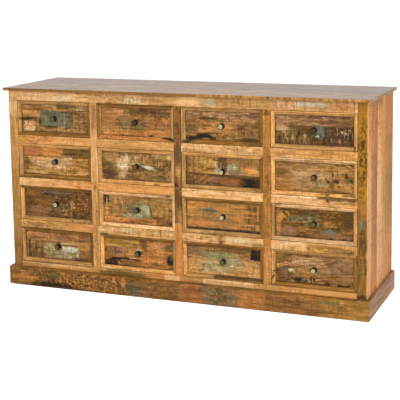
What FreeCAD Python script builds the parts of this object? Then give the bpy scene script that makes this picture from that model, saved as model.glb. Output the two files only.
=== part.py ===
import FreeCAD, Part
import math
import os

# Sideboard of reclaimed mango wood: sixteen inset drawers in a face frame, on a plinth.
# Millimetres, +Z up, front towards -Y. The origin is on the floor, in the middle of the
# sideboard's width and of its depth from plinth front to back.

# Face frame and its drawer openings
columns = 4
rows = 4
opening_width = 392.0
opening_height = 168.0
outer_stile_width = 45.0
mid_stile_width = 36.0
top_rail_height = 48.0
mid_rail_height = 39.5
bottom_rail_height = 24.5
frame_thickness = 20.0

# Carcass behind the frame
body_depth = 500.0
side_thickness = 20.0
side_planks = 3
partition_thickness = 18.0
bottom_thickness = 12.0
back_frame_thickness = 18.0
back_member_width = 60.0
back_panel_thickness = 6.0
back_panel_inset = 3.0

# Top
top_thickness = 13.0
top_overhang_front = 23.0
top_overhang_side = 17.0
top_planks = 4
top_arris_radius = 2.0

# Plinth and the bearers inside it
plinth_height = 90.0
plinth_projection_front = 25.0
plinth_projection_side = 15.0
plinth_board_thickness = 30.0
bearer_width = 40.0
bearer_height = 40.0

# Drawer fronts: a flat panel with four mitred mouldings planted on its edge
front_reveal = 2.0
panel_recess = 14.0
panel_thickness = 14.0
moulding_width = 17.0
moulding_setback = 1.0
moulding_lip = 5.0
moulding_inner_height = 3.0

# Drawer boxes
box_inset = 2.0
box_side_thickness = 12.0
box_side_height = 150.0
box_bottom_thickness = 6.0
box_bottom_lift = 8.0
box_rear_gap = 12.0
running_gap = 0.3

# Runners, side guides and kickers, fixed to the sides and partitions
runner_bearing = 22.0
guide_height = 25.0
guide_clearance = 1.0
guide_front_gap = 3.0

# Turned knobs and their screws
knob_projection = 24.0
knob_base_radius = 13.5
knob_base_thickness = 2.5
knob_neck_radius = 8.0
knob_head_radius = 12.5
knob_head_length = 13.0
knob_dome_height = 2.5
knob_arris_width = 1.5
screw_radius = 2.0
screw_engagement = 12.0
screw_head_radius = 4.5
screw_head_thickness = 2.5
screw_bore_clearance = 0.3
screw_thread_clearance = 0.1

# Places that follow from the sizes
body_width = 2 * outer_stile_width + (columns - 1) * mid_stile_width + columns * opening_width
half_body = body_width / 2
front_y = -(body_depth + plinth_projection_front) / 2 + plinth_projection_front
frame_back_y = front_y + frame_thickness
back_y = front_y + body_depth
back_frame_y = back_y - back_frame_thickness
inner_half = half_body - side_thickness
frame_bottom_z = plinth_height
rows_height = rows * opening_height + (rows - 1) * mid_rail_height
lowest_opening_z = frame_bottom_z + bottom_rail_height
rail_underside_z = lowest_opening_z + rows_height
top_underside_z = rail_underside_z + top_rail_height
floor_board_z = frame_bottom_z + bottom_thickness
plinth_half = half_body + plinth_projection_side
plinth_front_y = front_y - plinth_projection_front
panel_face_y = front_y + panel_recess
panel_back_y = panel_face_y + panel_thickness
box_rear_y = back_frame_y - box_rear_gap
box_half = opening_width / 2 - front_reveal - box_inset


def box(x0, x1, y0, y1, z0, z1):
    """A squared board between two opposite corners."""
    return Part.makeBox(x1 - x0, y1 - y0, z1 - z0, FreeCAD.Vector(x0, y0, z0))


def mirrored(shape):
    """The same piece on the other side of the middle plane X = 0."""
    return shape.mirror(FreeCAD.Vector(0, 0, 0), FreeCAD.Vector(1, 0, 0))


def board_from_outline(outline, z0, z1):
    """A board whose plan is a polygon of (x, y) corners, from z0 up to z1."""
    corners = [FreeCAD.Vector(x, y, z0) for x, y in outline]
    face = Part.Face(Part.makePolygon(corners + corners[:1]))
    return face.extrude(FreeCAD.Vector(0, 0, z1 - z0))


def solid_between(first, second):
    """A solid with two flat ends of as many corners, joined corner to corner by flat faces."""
    count = len(first)
    faces = [Part.Face(Part.makePolygon(end + end[:1])) for end in (first, second)]
    for i in range(count):
        j = (i + 1) % count
        side = [first[i], first[j], second[j], second[i], first[i]]
        faces.append(Part.Face(Part.makePolygon(side)))
    solid = Part.Solid(Part.makeShell(faces))
    if solid.Volume < 0:
        solid.reverse()
    return solid


def opening_left_x(column):
    """Left edge of a drawer opening, columns counted from the left."""
    return -half_body + outer_stile_width + column * (opening_width + mid_stile_width)


def opening_bottom_z(row):
    """Lower edge of a drawer opening, rows counted from the top."""
    return rail_underside_z - opening_height - row * (opening_height + mid_rail_height)


def stile_centre_x(index):
    """Middle of an inner stile, counted from the left, which is also its partition's middle."""
    return opening_left_x(index) + opening_width + mid_stile_width / 2


def wall_faces(column):
    """The two upright faces that a drawer runs between: sides or partitions."""
    left = -inner_half
    right = inner_half
    if column > 0:
        left = stile_centre_x(column - 1) + partition_thickness / 2
    if column < columns - 1:
        right = stile_centre_x(column) - partition_thickness / 2
    return left, right


def top_boards():
    """Planks glued edge to edge; the front and end arrises of the slab are rounded."""
    y0 = front_y - top_overhang_front
    plank_width = (back_y - y0) / top_planks
    half = half_body + top_overhang_side
    top_z = top_underside_z + top_thickness
    planks = []
    for i in range(top_planks):
        plank = box(-half, half, y0 + i * plank_width, y0 + (i + 1) * plank_width, top_underside_z, top_z)
        worn = []
        for edge in plank.Edges:
            middle = edge.CenterOfMass
            at_end = abs(abs(middle.x) - half) < 0.001
            at_front = i == 0 and abs(middle.y - y0) < 0.001
            on_top = abs(middle.z - top_z) < 0.001
            if on_top and (at_end or at_front):
                worn.append(edge)
        planks.append(plank.makeFillet(top_arris_radius, worn))
    return planks


def side_panel():
    """Upright planks of the left side, behind the face frame."""
    plank_width = (back_y - frame_back_y) / side_planks
    planks = []
    for i in range(side_planks):
        y0 = frame_back_y + i * plank_width
        planks.append(box(-half_body, -inner_half, y0, y0 + plank_width, frame_bottom_z, top_underside_z))
    return planks


def frame_stiles():
    """Two outer stiles from plinth to top, and the inner ones between the long rails."""
    outer = box(-half_body, -half_body + outer_stile_width, front_y, frame_back_y,
                frame_bottom_z, top_underside_z)
    stiles = [outer, mirrored(outer)]
    for i in range(columns - 1):
        x = stile_centre_x(i)
        stiles.append(box(x - mid_stile_width / 2, x + mid_stile_width / 2, front_y, frame_back_y,
                          lowest_opening_z, rail_underside_z))
    return stiles


def frame_rails():
    """Long top and bottom rails, and a short rail under each drawer but the lowest."""
    half = half_body - outer_stile_width
    rails = [
        box(-half, half, front_y, frame_back_y, rail_underside_z, top_underside_z),
        box(-half, half, front_y, frame_back_y, frame_bottom_z, lowest_opening_z),
    ]
    for column in range(columns):
        x0 = opening_left_x(column)
        for row in range(rows - 1):
            z1 = opening_bottom_z(row)
            rails.append(box(x0, x0 + opening_width, front_y, frame_back_y, z1 - mid_rail_height, z1))
    return rails


def partitions():
    """Upright boards behind the inner stiles, standing on the bottom board."""
    boards = []
    for i in range(columns - 1):
        x = stile_centre_x(i)
        boards.append(box(x - partition_thickness / 2, x + partition_thickness / 2,
                          frame_back_y, back_frame_y, floor_board_z, top_underside_z))
    return boards


def drawer_runners():
    """For each drawer two runners with a guide on each, and kickers over the top row."""
    strips = []
    for column in range(columns):
        middle = opening_left_x(column) + opening_width / 2
        walls = wall_faces(column)
        for wall, side in zip(walls, (-1, 1)):
            bearing_x = middle + side * (box_half - runner_bearing)
            guide_x = middle + side * (box_half + guide_clearance)
            runner_x0, runner_x1 = sorted((wall, bearing_x))
            guide_x0, guide_x1 = sorted((wall, guide_x))
            for row in range(rows):
                z = opening_bottom_z(row)
                under = z - mid_rail_height if row < rows - 1 else floor_board_z
                strips.append(box(runner_x0, runner_x1, frame_back_y, back_frame_y, under, z))
                strips.append(box(guide_x0, guide_x1, panel_back_y + guide_front_gap, back_frame_y,
                                  z, z + guide_height))
            strips.append(box(runner_x0, runner_x1, frame_back_y, back_frame_y,
                              rail_underside_z, top_underside_z))
    return strips


def bottom_board():
    """The floor of the carcass, on the bearers, between the sides."""
    return [box(-inner_half, inner_half, frame_back_y, back_frame_y, frame_bottom_z, floor_board_z)]


def back_stile_spans():
    """Left and right edge of each upright of the back frame."""
    spans = [(-inner_half, -inner_half + back_member_width)]
    for i in range(columns - 1):
        x = stile_centre_x(i)
        spans.append((x - back_member_width / 2, x + back_member_width / 2))
    spans.append((inner_half - back_member_width, inner_half))
    return spans


def back_frame():
    """Uprights the full height, with a rail at the top and the bottom of each bay."""
    spans = back_stile_spans()
    members = [box(x0, x1, back_frame_y, back_y, frame_bottom_z, top_underside_z) for x0, x1 in spans]
    for left, right in zip(spans, spans[1:]):
        members.append(box(left[1], right[0], back_frame_y, back_y,
                           frame_bottom_z, frame_bottom_z + back_member_width))
        members.append(box(left[1], right[0], back_frame_y, back_y,
                           top_underside_z - back_member_width, top_underside_z))
    return members


def back_panels():
    """One thin panel in each bay of the back frame."""
    spans = back_stile_spans()
    y0 = back_frame_y + back_panel_inset
    panels = []
    for left, right in zip(spans, spans[1:]):
        panels.append(box(left[1], right[0], y0, y0 + back_panel_thickness,
                          frame_bottom_z + back_member_width, top_underside_z - back_member_width))
    return panels


def plinth_boards():
    """Front and side boards mitred at the front corners, and a back board between the sides."""
    t = plinth_board_thickness
    outer = plinth_half
    inner = plinth_half - t
    front = [(-outer, plinth_front_y), (outer, plinth_front_y),
             (inner, plinth_front_y + t), (-inner, plinth_front_y + t)]
    left = [(-outer, plinth_front_y), (-inner, plinth_front_y + t), (-inner, back_y), (-outer, back_y)]
    side = board_from_outline(left, 0, plinth_height)
    return [
        board_from_outline(front, 0, plinth_height),
        side,
        mirrored(side),
        box(-inner, inner, back_y - t, back_y, 0, plinth_height),
    ]


def plinth_bearers():
    """Strips inside the plinth, level with its top, that carry the carcass."""
    z0 = plinth_height - bearer_height
    half = plinth_half - plinth_board_thickness
    y0 = plinth_front_y + plinth_board_thickness
    y1 = back_y - plinth_board_thickness
    end = box(-half, -half + bearer_width, y0 + bearer_width, y1 - bearer_width, z0, plinth_height)
    bearers = [
        box(-half, half, y0, y0 + bearer_width, z0, plinth_height),
        box(-half, half, y1 - bearer_width, y1, z0, plinth_height),
        end,
        mirrored(end),
    ]
    for i in range(columns - 1):
        x = stile_centre_x(i)
        bearers.append(box(x - bearer_width / 2, x + bearer_width / 2,
                           y0 + bearer_width, y1 - bearer_width, z0, plinth_height))
    return bearers


def drawer_front(column, row):
    """Panel with its screw hole, framed by four bevelled mouldings with mitred ends."""
    x0 = opening_left_x(column) + front_reveal
    x1 = x0 + opening_width - 2 * front_reveal
    z0 = opening_bottom_z(row) + front_reveal
    z1 = z0 + opening_height - 2 * front_reveal
    hole = Part.makeCylinder(screw_radius + screw_bore_clearance, 2 * panel_thickness,
                             FreeCAD.Vector((x0 + x1) / 2, panel_back_y + panel_thickness / 2, (z0 + z1) / 2),
                             FreeCAD.Vector(0, -1, 0))
    panel = box(x0, x1, panel_face_y, panel_back_y, z0, z1).cut(hole)

    height = panel_recess - moulding_setback
    profile = [(0, 0), (0, height), (moulding_lip, height),
               (moulding_width, moulding_inner_height), (moulding_width, 0)]

    def corner(side_x, side_z):
        """The mitred end at one corner: each profile point lies as far in from both edges."""
        points = []
        for inward, proud in profile:
            x = x0 + inward if side_x < 0 else x1 - inward
            z = z0 + inward if side_z < 0 else z1 - inward
            points.append(FreeCAD.Vector(x, panel_face_y - proud, z))
        return points

    lower_left, lower_right = corner(-1, -1), corner(1, -1)
    upper_left, upper_right = corner(-1, 1), corner(1, 1)
    mouldings = [
        solid_between(lower_left, lower_right),
        solid_between(upper_left, upper_right),
        solid_between(lower_left, upper_left),
        solid_between(lower_right, upper_right),
    ]
    return [panel] + mouldings


def drawer_box(column, row):
    """Two sides, a back and a raised bottom, fixed to the back of the drawer front."""
    middle = opening_left_x(column) + opening_width / 2
    z0 = opening_bottom_z(row) + running_gap
    z1 = z0 + box_side_height
    inner = box_half - box_side_thickness
    back_face_y = box_rear_y - box_side_thickness
    bottom_z = z0 + box_bottom_lift
    return [
        box(middle - box_half, middle - inner, panel_back_y, box_rear_y, z0, z1),
        box(middle + inner, middle + box_half, panel_back_y, box_rear_y, z0, z1),
        box(middle - inner, middle + inner, back_face_y, box_rear_y, z0, z1),
        box(middle - inner, middle + inner, panel_back_y, back_face_y,
            bottom_z, bottom_z + box_bottom_thickness),
    ]


def knob_profile(bore_radius, bore_depth):
    """Half section of the knob: (distance from its axis, distance out from the panel).

    The face is a spherical cap, whose radius follows from its height and its rim.
    """
    head_start = knob_projection - knob_head_length
    face = knob_projection - knob_dome_height
    rim = knob_head_radius - knob_arris_width
    dome_radius = (rim ** 2 + knob_dome_height ** 2) / (2 * knob_dome_height)
    half_way = math.asin(rim / dome_radius) / 2
    dome_centre = knob_projection - dome_radius

    def at(radius, out):
        return FreeCAD.Vector(radius, 0, out)

    base_edge = knob_base_thickness / 2
    return [
        Part.LineSegment(at(bore_radius, 0), at(knob_base_radius, 0)),
        Part.LineSegment(at(knob_base_radius, 0), at(knob_base_radius, base_edge)),
        Part.LineSegment(at(knob_base_radius, base_edge), at(knob_neck_radius, knob_base_thickness)),
        Part.LineSegment(at(knob_neck_radius, knob_base_thickness), at(knob_neck_radius, head_start)),
        Part.LineSegment(at(knob_neck_radius, head_start), at(knob_head_radius, face - knob_arris_width)),
        Part.LineSegment(at(knob_head_radius, face - knob_arris_width), at(rim, face)),
        Part.Arc(at(rim, face),
                 at(dome_radius * math.sin(half_way), dome_centre + dome_radius * math.cos(half_way)),
                 at(0, knob_projection)),
        Part.LineSegment(at(0, knob_projection), at(0, bore_depth)),
        Part.LineSegment(at(0, bore_depth), at(bore_radius, bore_depth)),
        Part.LineSegment(at(bore_radius, bore_depth), at(bore_radius, 0)),
    ]


def knob(column, row):
    """A turned metal knob on the panel, and the screw that holds it from inside."""
    middle_x = opening_left_x(column) + opening_width / 2
    middle_z = opening_bottom_z(row) + opening_height / 2
    bore_radius = screw_radius + screw_thread_clearance
    segments = knob_profile(bore_radius, screw_engagement + screw_thread_clearance)
    wire = Part.Wire([segment.toShape() for segment in segments])
    turned = Part.Face(wire).revolve(FreeCAD.Vector(0, 0, 0), FreeCAD.Vector(0, 0, 1), 360)
    turned.rotate(FreeCAD.Vector(0, 0, 0), FreeCAD.Vector(1, 0, 0), 90)
    turned.translate(FreeCAD.Vector(middle_x, panel_face_y, middle_z))
    if turned.Volume < 0:
        turned.reverse()
    outward = FreeCAD.Vector(0, -1, 0)
    head_at = FreeCAD.Vector(middle_x, panel_back_y + screw_head_thickness, middle_z)
    shank_at = FreeCAD.Vector(middle_x, panel_back_y, middle_z)
    head = Part.makeCylinder(screw_head_radius, screw_head_thickness, head_at, outward)
    shank = Part.makeCylinder(screw_radius, panel_thickness + screw_engagement, shank_at, outward)
    return [turned, head.fuse(shank).removeSplitter()]


def write(name, solids):
    """One STEP file per node, with each piece of the node as its own solid."""
    flat = [solid for shape in solids for solid in shape.Solids]
    Part.makeCompound(flat).exportStep("parts/" + name + ".step")


def main():
    os.makedirs("parts", exist_ok=True)
    left_side = side_panel()
    write("top_planks", top_boards())
    write("side_planks_left", left_side)
    write("side_planks_right", [mirrored(plank) for plank in left_side])
    write("face_frame_stiles", frame_stiles())
    write("face_frame_rails", frame_rails())
    write("partitions", partitions())
    write("drawer_runners", drawer_runners())
    write("bottom_board", bottom_board())
    write("back_frame", back_frame())
    write("back_panels", back_panels())
    write("plinth_boards", plinth_boards())
    write("plinth_bearers", plinth_bearers())
    for column in range(columns):
        for row in range(rows):
            name = "drawer_r%dc%d_" % (row + 1, column + 1)
            write(name + "front", drawer_front(column, row))
            write(name + "box", drawer_box(column, row))
            write(name + "knob", knob(column, row))


main()
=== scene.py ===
import math
import bpy
import numpy as np
from mathutils import Matrix, Vector


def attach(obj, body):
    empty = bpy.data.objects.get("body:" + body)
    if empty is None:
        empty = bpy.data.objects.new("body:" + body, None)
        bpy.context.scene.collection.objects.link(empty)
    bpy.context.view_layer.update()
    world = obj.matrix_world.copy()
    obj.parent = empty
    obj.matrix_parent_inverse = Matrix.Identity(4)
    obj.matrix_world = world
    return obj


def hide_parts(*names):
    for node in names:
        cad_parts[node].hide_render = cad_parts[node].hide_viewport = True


# Looks of a sideboard of reclaimed mango wood: a face frame with sixteen inset drawers under
# a thin plank top, on a plinth. Metres, front towards -Y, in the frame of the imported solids.

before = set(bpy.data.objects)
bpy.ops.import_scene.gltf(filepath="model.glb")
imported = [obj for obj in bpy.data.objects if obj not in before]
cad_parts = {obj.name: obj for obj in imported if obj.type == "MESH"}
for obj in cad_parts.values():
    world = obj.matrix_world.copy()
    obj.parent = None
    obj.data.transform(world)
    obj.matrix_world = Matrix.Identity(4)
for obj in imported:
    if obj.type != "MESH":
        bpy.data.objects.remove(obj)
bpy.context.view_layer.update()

MM = 0.001

# Places of the solids that the pieces stand for
BODY_HALF = 0.883
FRONT = -0.2375
FRAME_BACK = -0.2175
BACK = 0.2625
BACK_FRAME_FRONT = 0.2445
TOP_UNDERSIDE = 0.953
TOP_THICKNESS = 0.013
TOP_HALF = 0.900
TOP_FRONT = -0.2605
PLINTH_HALF = 0.898
PLINTH_FRONT = -0.2625
PLINTH_HEIGHT = 0.090
PLINTH_BOARD = 0.030
SIDE_THICKNESS = 0.020
OPENING_WIDTH = 0.392
OPENING_HEIGHT = 0.168
OUTER_STILE = 0.045
MID_STILE = 0.036
MID_RAIL = 0.0395
LOWEST_OPENING = 0.1145
TOP_RAIL_UNDERSIDE = 0.905
REVEAL = 0.002
PANEL_FACE = -0.2235
PANEL_BACK = -0.2095
BACK_MEMBER = 0.060
BACK_PANEL_INSET = 0.009
BACK_PANEL_THICKNESS = 0.006
COLUMNS = 4
ROWS = 4


def opening_left(column):
    return -BODY_HALF + OUTER_STILE + column * (OPENING_WIDTH + MID_STILE)


def opening_bottom(row):
    return LOWEST_OPENING + (ROWS - 1 - row) * (OPENING_HEIGHT + MID_RAIL)


# Colours of old varnished mango wood


def shown(red, green, blue):
    """Linear colour of display values from 0 to 255, by the display curve turned round."""
    v = np.array([red, green, blue], float) / 255
    return np.where(v <= 0.04045, v / 12.92, ((v + 0.055) / 1.055) ** 2.4)


HUES = {
    "peach": shown(240, 188, 132),
    "honey": shown(222, 163, 94),
    "orange": shown(210, 138, 70),
    "gold": shown(196, 146, 68),
    "mustard": shown(168, 118, 24),
    "tan": shown(190, 142, 84),
    "pink": shown(210, 150, 106),
    "rust": shown(166, 100, 46),
    "bronze": shown(150, 104, 44),
    "brown": shown(124, 86, 42),
    "olive": shown(116, 90, 42),
    "umber": shown(82, 54, 20),
    "black": shown(26, 17, 10),
    "plum": shown(86, 56, 40),
    "mauve": shown(148, 108, 78),
    "slate": shown(108, 106, 86),
    "moss": shown(98, 96, 60),
    "sage": shown(148, 140, 94),
    "sea": shown(172, 172, 134),
    "cream": shown(226, 204, 158),
    "chalk": shown(208, 200, 170),
    "sand": shown(206, 162, 116),
    "clay": shown(180, 112, 66),
    "stone": shown(206, 192, 138),
}


# Marks in the wood. On the front they are placed in thousandths of the body's length: x from
# its left end and z above the floor. On a side, x is the depth behind the frame's front, and
# on the top that depth takes the place of z.

BODY_LENGTH = 2 * BODY_HALF
THOUSANDTHS = 1000 / BODY_LENGTH
LATTICE = (53, 59)


def smooth_noise(u, v, seed):
    """Values from -1 to 1 on a unit lattice, blended between corners by 3t^2 - 2t^3."""
    lattice = np.random.default_rng(seed).uniform(-1, 1, LATTICE)
    i, j = np.floor(u).astype(int), np.floor(v).astype(int)
    s, t = u - i, v - j
    s, t = s * s * (3 - 2 * s), t * t * (3 - 2 * t)

    def at(di, dj):
        return lattice[(i + di) % LATTICE[0], (j + dj) % LATTICE[1]]

    low = at(0, 0) * (1 - s) + at(1, 0) * s
    high = at(0, 1) * (1 - s) + at(1, 1) * s
    return low * (1 - t) + high * t


def ramp(x, start, end):
    """0 before start, 1 after end, and 3t^2 - 2t^3 between."""
    t = np.clip((x - start) / (end - start), 0, 1)
    return t * t * (3 - 2 * t)


def inside_by(u, v, u0, u1, v0, v1):
    """Distance from the nearest edge of a rectangle, above 0 inside it."""
    return np.minimum.reduce([u - u0, u1 - u, v - v0, v1 - v])


def mottled(u, v, seed, strength):
    """The strength of a mark, varied over a few millimetres so that no mark is even. The
    weaker the mark, the more of it is worn through."""
    broad = smooth_noise(u / 3.4, v / 2.2, seed + 2)
    fine = smooth_noise(u / 1.6, v / 1.4, seed + 4)
    worn = 0.5 - 0.5 * broad - 0.4 * fine
    return np.clip(strength * (1.25 - 0.7 * (1.1 - strength) * worn), 0, 1)


def patch(hue, x, z, wide, high, strength=0.7, turn=0, soft=0.45, paint=False):
    """An uneven blot. Its cover falls from 1 to 0 across the edge of an ellipse turned by
    turn degrees, and noise of a few millimetres pushes that edge in and out."""
    def cover(u, v, seed):
        c, s = math.cos(math.radians(turn)), math.sin(math.radians(turn))
        a, b = (u - x) * c + (v - z) * s, (v - z) * c - (u - x) * s
        wander = smooth_noise(u / 9, v / 4, seed) + 0.6 * smooth_noise(u / 3, v / 2, seed + 1)
        reach = np.hypot(2 * a / wide, 2 * b / high) + 0.32 * wander
        return ramp(reach, 1 + soft, 1 - soft) * mottled(u, v, seed, strength)
    return hue, cover, paint


def block(hue, x0, x1, z0, z1, strength=0.7, soft=1.5, paint=False):
    """A patch with four straight edges: the cover is the least of four ramps inwards."""
    def cover(u, v, seed):
        wander = 2.2 * smooth_noise(u / 5, v / 5, seed) + 1.4 * smooth_noise(u / 2, v / 2, seed + 1)
        inside = inside_by(u, v, x0, x1, z0, z1) + wander
        return ramp(inside, -soft, soft) * mottled(u, v, seed, strength)
    return hue, cover, paint


def line(hue, x0, z0, x1, z1, width=2.0, strength=0.8):
    """A scratch or crack: the cover falls off with the distance from a straight stretch."""
    def cover(u, v, seed):
        length = math.hypot(x1 - x0, z1 - z0)
        p, q = (x1 - x0) / length, (z1 - z0) / length
        along = np.clip((u - x0) * p + (v - z0) * q, 0, length)
        away = np.hypot(u - x0 - along * p, v - z0 - along * q)
        away = away + 0.5 * smooth_noise(u / 4, v / 4, seed)
        return strength * ramp(away, width, 0.3 * width)
    return hue, cover, False


def flecks(hue, x, z, wide, high, strength=0.7, long=5, tall=2, share=0.3):
    """Scattered specks in an ellipse: noise of their size, kept where it passes a level that
    rises towards the ellipse's edge."""
    def cover(u, v, seed):
        reach = np.hypot(2 * (u - x) / wide, 2 * (v - z) / high)
        specks = smooth_noise(u / long, v / tall, seed) - ramp(reach, 0.6, 1.2)
        level = 1 - 2 * share
        return min(1.2 * strength, 1) * ramp(specks, level - 0.15, level + 0.2)
    return hue, cover, False


def streaks(hue, x0, x1, z0, z1, strength=0.5, long=24, tall=1.7, share=0.35):
    """Grain lines in a rectangle, or saw lines where long is small and tall large: noise
    stretched to long by tall, kept where it passes a level, and fading at the edges."""
    def cover(u, v, seed):
        inside = inside_by(u, v, x0, x1, z0, z1) + 1.5 * smooth_noise(u / 6, v / 6, seed + 1)
        grain = smooth_noise(u / long, v / tall, seed)
        grain = grain + 0.35 * smooth_noise(u / long * 2.3, v / tall * 2.3, seed + 2)
        level = 0.75 - 1.5 * share
        return min(1.2 * strength, 1) * ramp(grain, level - 0.12, level + 0.3) * ramp(inside, -1, 3)
    return hue, cover, False


def figured(along, across, light, dark, seed, contrast=1.0):
    """Tone of a board at (along, across) its grain, in thousandths of the body's length. It
    runs between two hues by four layers of noise, each finer and more broken than the last,
    and the darkest troughs go on towards umber."""
    sway = (
        0.40 * smooth_noise(along / 70, across / 13, seed)
        + 0.46 * smooth_noise(along / 26, across / 4.6, seed + 7)
        + 0.50 * smooth_noise(along / 11, across / 2.6, seed + 13)
        + 0.42 * smooth_noise(along / 3.6, across / 3.0, seed + 19)
    ) * contrast
    share = np.clip(0.5 + 0.75 * sway, 0, 1)[:, None]
    tone = HUES[light] * share + HUES[dark] * (1 - share)
    trough = ramp(-sway, 0.45, 1.05)[:, None] * 0.7
    return tone * (1 - trough) + HUES["umber"] * trough


def laid(tone, paint, x, z, marks, seed):
    """Each mark in turn laid over the tone; painted ones go to the layer of old paint."""
    for number, (hue, cover, painted) in enumerate(marks):
        share = cover(x, z, seed + 31 * number + 3)[:, None]
        if painted:
            paint[:, :3] = paint[:, :3] * (1 - np.sqrt(share)) + HUES[hue] * np.sqrt(share)
            paint[:, 3:] = np.maximum(paint[:, 3:], share)
        else:
            tone = tone * (1 - share) + HUES[hue] * share
            paint[:, 3:] = paint[:, 3:] * (1 - share)
    return tone, paint


# Meshes


def outline(width, thickness, arris, step, back_step):
    """Closed profile of a board: (across, into). The show face lies along into = 0 with a
    point every step, each corner is a quarter circle, and a point stands close to each
    corner so that its shading doesn't spread over the face."""
    def run(length, spacing):
        count = max(2, int(round((length - 2 * arris) / spacing)) + 1)
        inner = np.linspace(arris, length - arris, count)
        guard = min(0.4 * MM, (length - 2 * arris) / 8)
        return np.unique(np.r_[inner, arris + guard, length - arris - guard].round(9))
    turn = np.radians([30.0, 60.0])
    curve = arris * (1 - np.cos(turn)), arris * (1 - np.sin(turn))
    face, edge = run(width, step), run(thickness, max(step, 4 * MM))
    rear, side = run(width, back_step)[::-1], run(thickness, max(step, 4 * MM))[::-1]
    parts = [
        np.c_[face, 0 * face],
        np.c_[width - curve[1], curve[0]],
        np.c_[0 * edge + width, edge],
        np.c_[width - curve[0], thickness - curve[1]],
        np.c_[rear, 0 * rear + thickness],
        np.c_[curve[1], thickness - curve[0]],
        np.c_[0 * side, side],
        np.c_[curve[0], curve[1]],
    ]
    return np.vstack(parts)


# Stations of a rounded end, as shares of its radius
ROUNDING = np.array([0, 0.13, 0.5, 1])


def skin(stations, ring):
    """Faces between closed rings of points, one ring at each station, and a fan over either
    end about its middle point. The two middle points follow the rings."""
    index = np.arange(stations * ring).reshape(stations, ring)
    following = np.roll(index, -1, axis=1)
    quads = np.stack([index[:-1], following[:-1], following[1:], index[1:]], -1).reshape(-1, 4)
    middle = stations * ring
    fans = np.vstack([
        np.stack([following[0], index[0], np.full(ring, middle)], -1),
        np.stack([index[-1], following[-1], np.full(ring, middle + 1)], -1),
    ])
    return quads, fans


def carried(profile, start, along, across, into, length, step, arris=0.0,
            start_slope=(0, 0), end_slope=(0, 0)):
    """A profile carried along a straight line. Point = start + s * along + a * across +
    b * into; s runs from start_slope . (a, b) to length - end_slope . (a, b), which cuts
    mitres. Near both ends the profile shrinks by a quarter circle, and a fan closes it."""
    along, across, into = (np.array(v, float) for v in (along, across, into))
    count = max(2, int(round(length / step)) + 1)
    share = np.linspace(0, 1, count)[1:-1]
    lead = ROUNDING * arris / length if arris else np.array([0.0])
    between = (share > lead[-1] * 1.3) & (share < 1 - lead[-1] * 1.3)
    share = np.r_[lead, share[between], 1 - lead[::-1]]
    shrink = np.zeros((len(share), 1))
    if arris:
        depth = arris * (1 - np.sqrt(1 - (1 - ROUNDING[:, None]) ** 2))
        shrink[:len(depth)], shrink[-len(depth):] = depth, depth[::-1]
    low, high = profile.min(0) + shrink, profile.max(0) - shrink
    section = np.clip(profile[None], low[:, None], high[:, None])
    first = section @ np.array(start_slope, float)
    last = length - section @ np.array(end_slope, float)
    run = first + (last - first) * share[:, None]
    a, b = section[..., 0], section[..., 1]
    points = (np.array(start, float) + run[..., None] * along + a[..., None] * across
              + b[..., None] * into)
    points = np.vstack([points.reshape(-1, 3), points[0].mean(0), points[-1].mean(0)])
    stations, ring = run.shape
    grain = np.stack([run.ravel(), a.ravel(), b.ravel()], -1)
    grain = np.vstack([grain, grain[:ring].mean(0), grain[-ring:].mean(0)])
    return points, *skin(stations, ring), grain


def turned(profile, centre, around, dents=0.0, seed=0):
    """A profile of (radius, out) points turned about the knob's axis, which points to -Y:
    x = r cos t, y = -out, z = r sin t. Noise over angle and height makes it slightly uneven,
    by a share of the radius of up to dents."""
    angle = np.arange(around) * 2 * math.pi / around
    radius, out = profile[:, 0], profile[:, 1]
    wobble = 1 + dents * smooth_noise(
        out[:, None] * 400 + 0 * angle, 6 * (1 + np.cos(angle))[None] + 0 * out[:, None], seed)
    r = radius[:, None] * wobble
    points = np.stack([centre[0] + r * np.cos(angle), centre[1] - out[:, None] + 0 * r,
                       centre[2] + r * np.sin(angle)], -1)
    ends = [(centre[0], centre[1] - out[end], centre[2]) for end in (0, -1)]
    points = np.vstack([points.reshape(-1, 3), ends])
    return points, *skin(len(profile), around), points - np.array(centre)


class Piece:
    """Closed shells gathered into one mesh, each with its grain, tone and paint."""

    def __init__(self, name):
        self.name = name
        self.shells = []

    def add(self, shell, tone, paint=None):
        points, quads, fans, grain = shell
        a, b, c = points[quads[:, 0]], points[quads[:, 1]], points[quads[:, 2]]
        d = points[quads[:, 3]]
        middle = points.mean(0)
        volume = np.einsum("ij,ij->", a - middle, np.cross(b - middle, c - middle))
        volume += np.einsum("ij,ij->", a - middle, np.cross(c - middle, d - middle))
        if volume < 0:
            quads, fans = quads[:, ::-1], fans[:, ::-1]
        if paint is None:
            paint = np.zeros((len(points), 4))
        self.shells.append((points, quads, fans, grain, tone, paint))

    def finish(self, node, body, slot, finish):
        counts = np.cumsum([0] + [len(s[0]) for s in self.shells])
        faces = []
        for first, shell in zip(counts, self.shells):
            faces += (shell[1] + first).tolist() + (shell[2] + first).tolist()
        points = np.vstack([s[0] for s in self.shells])
        mesh = bpy.data.meshes.new(self.name)
        mesh.from_pydata(points.tolist(), [], faces)
        mesh.polygons.foreach_set("use_smooth", np.ones(len(faces), bool))
        layers = [
            ("grain_at", "FLOAT_VECTOR", "vector", [s[3] for s in self.shells]),
            ("tone", "FLOAT_COLOR", "color", [np.c_[s[4], np.ones(len(s[4]))] for s in self.shells]),
            ("old_paint", "FLOAT_COLOR", "color", [s[5] for s in self.shells]),
        ]
        for label, kind, field, values in layers:
            layer = mesh.attributes.new(label, kind, "POINT")
            layer.data.foreach_set(field, np.vstack(values).astype(np.float32).ravel())
        mesh.update()
        piece = bpy.data.objects.new(self.name, mesh)
        bpy.context.scene.collection.objects.link(piece)
        mesh.materials.append(finish)
        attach(piece, body)
        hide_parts(node)


# Finishes


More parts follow.
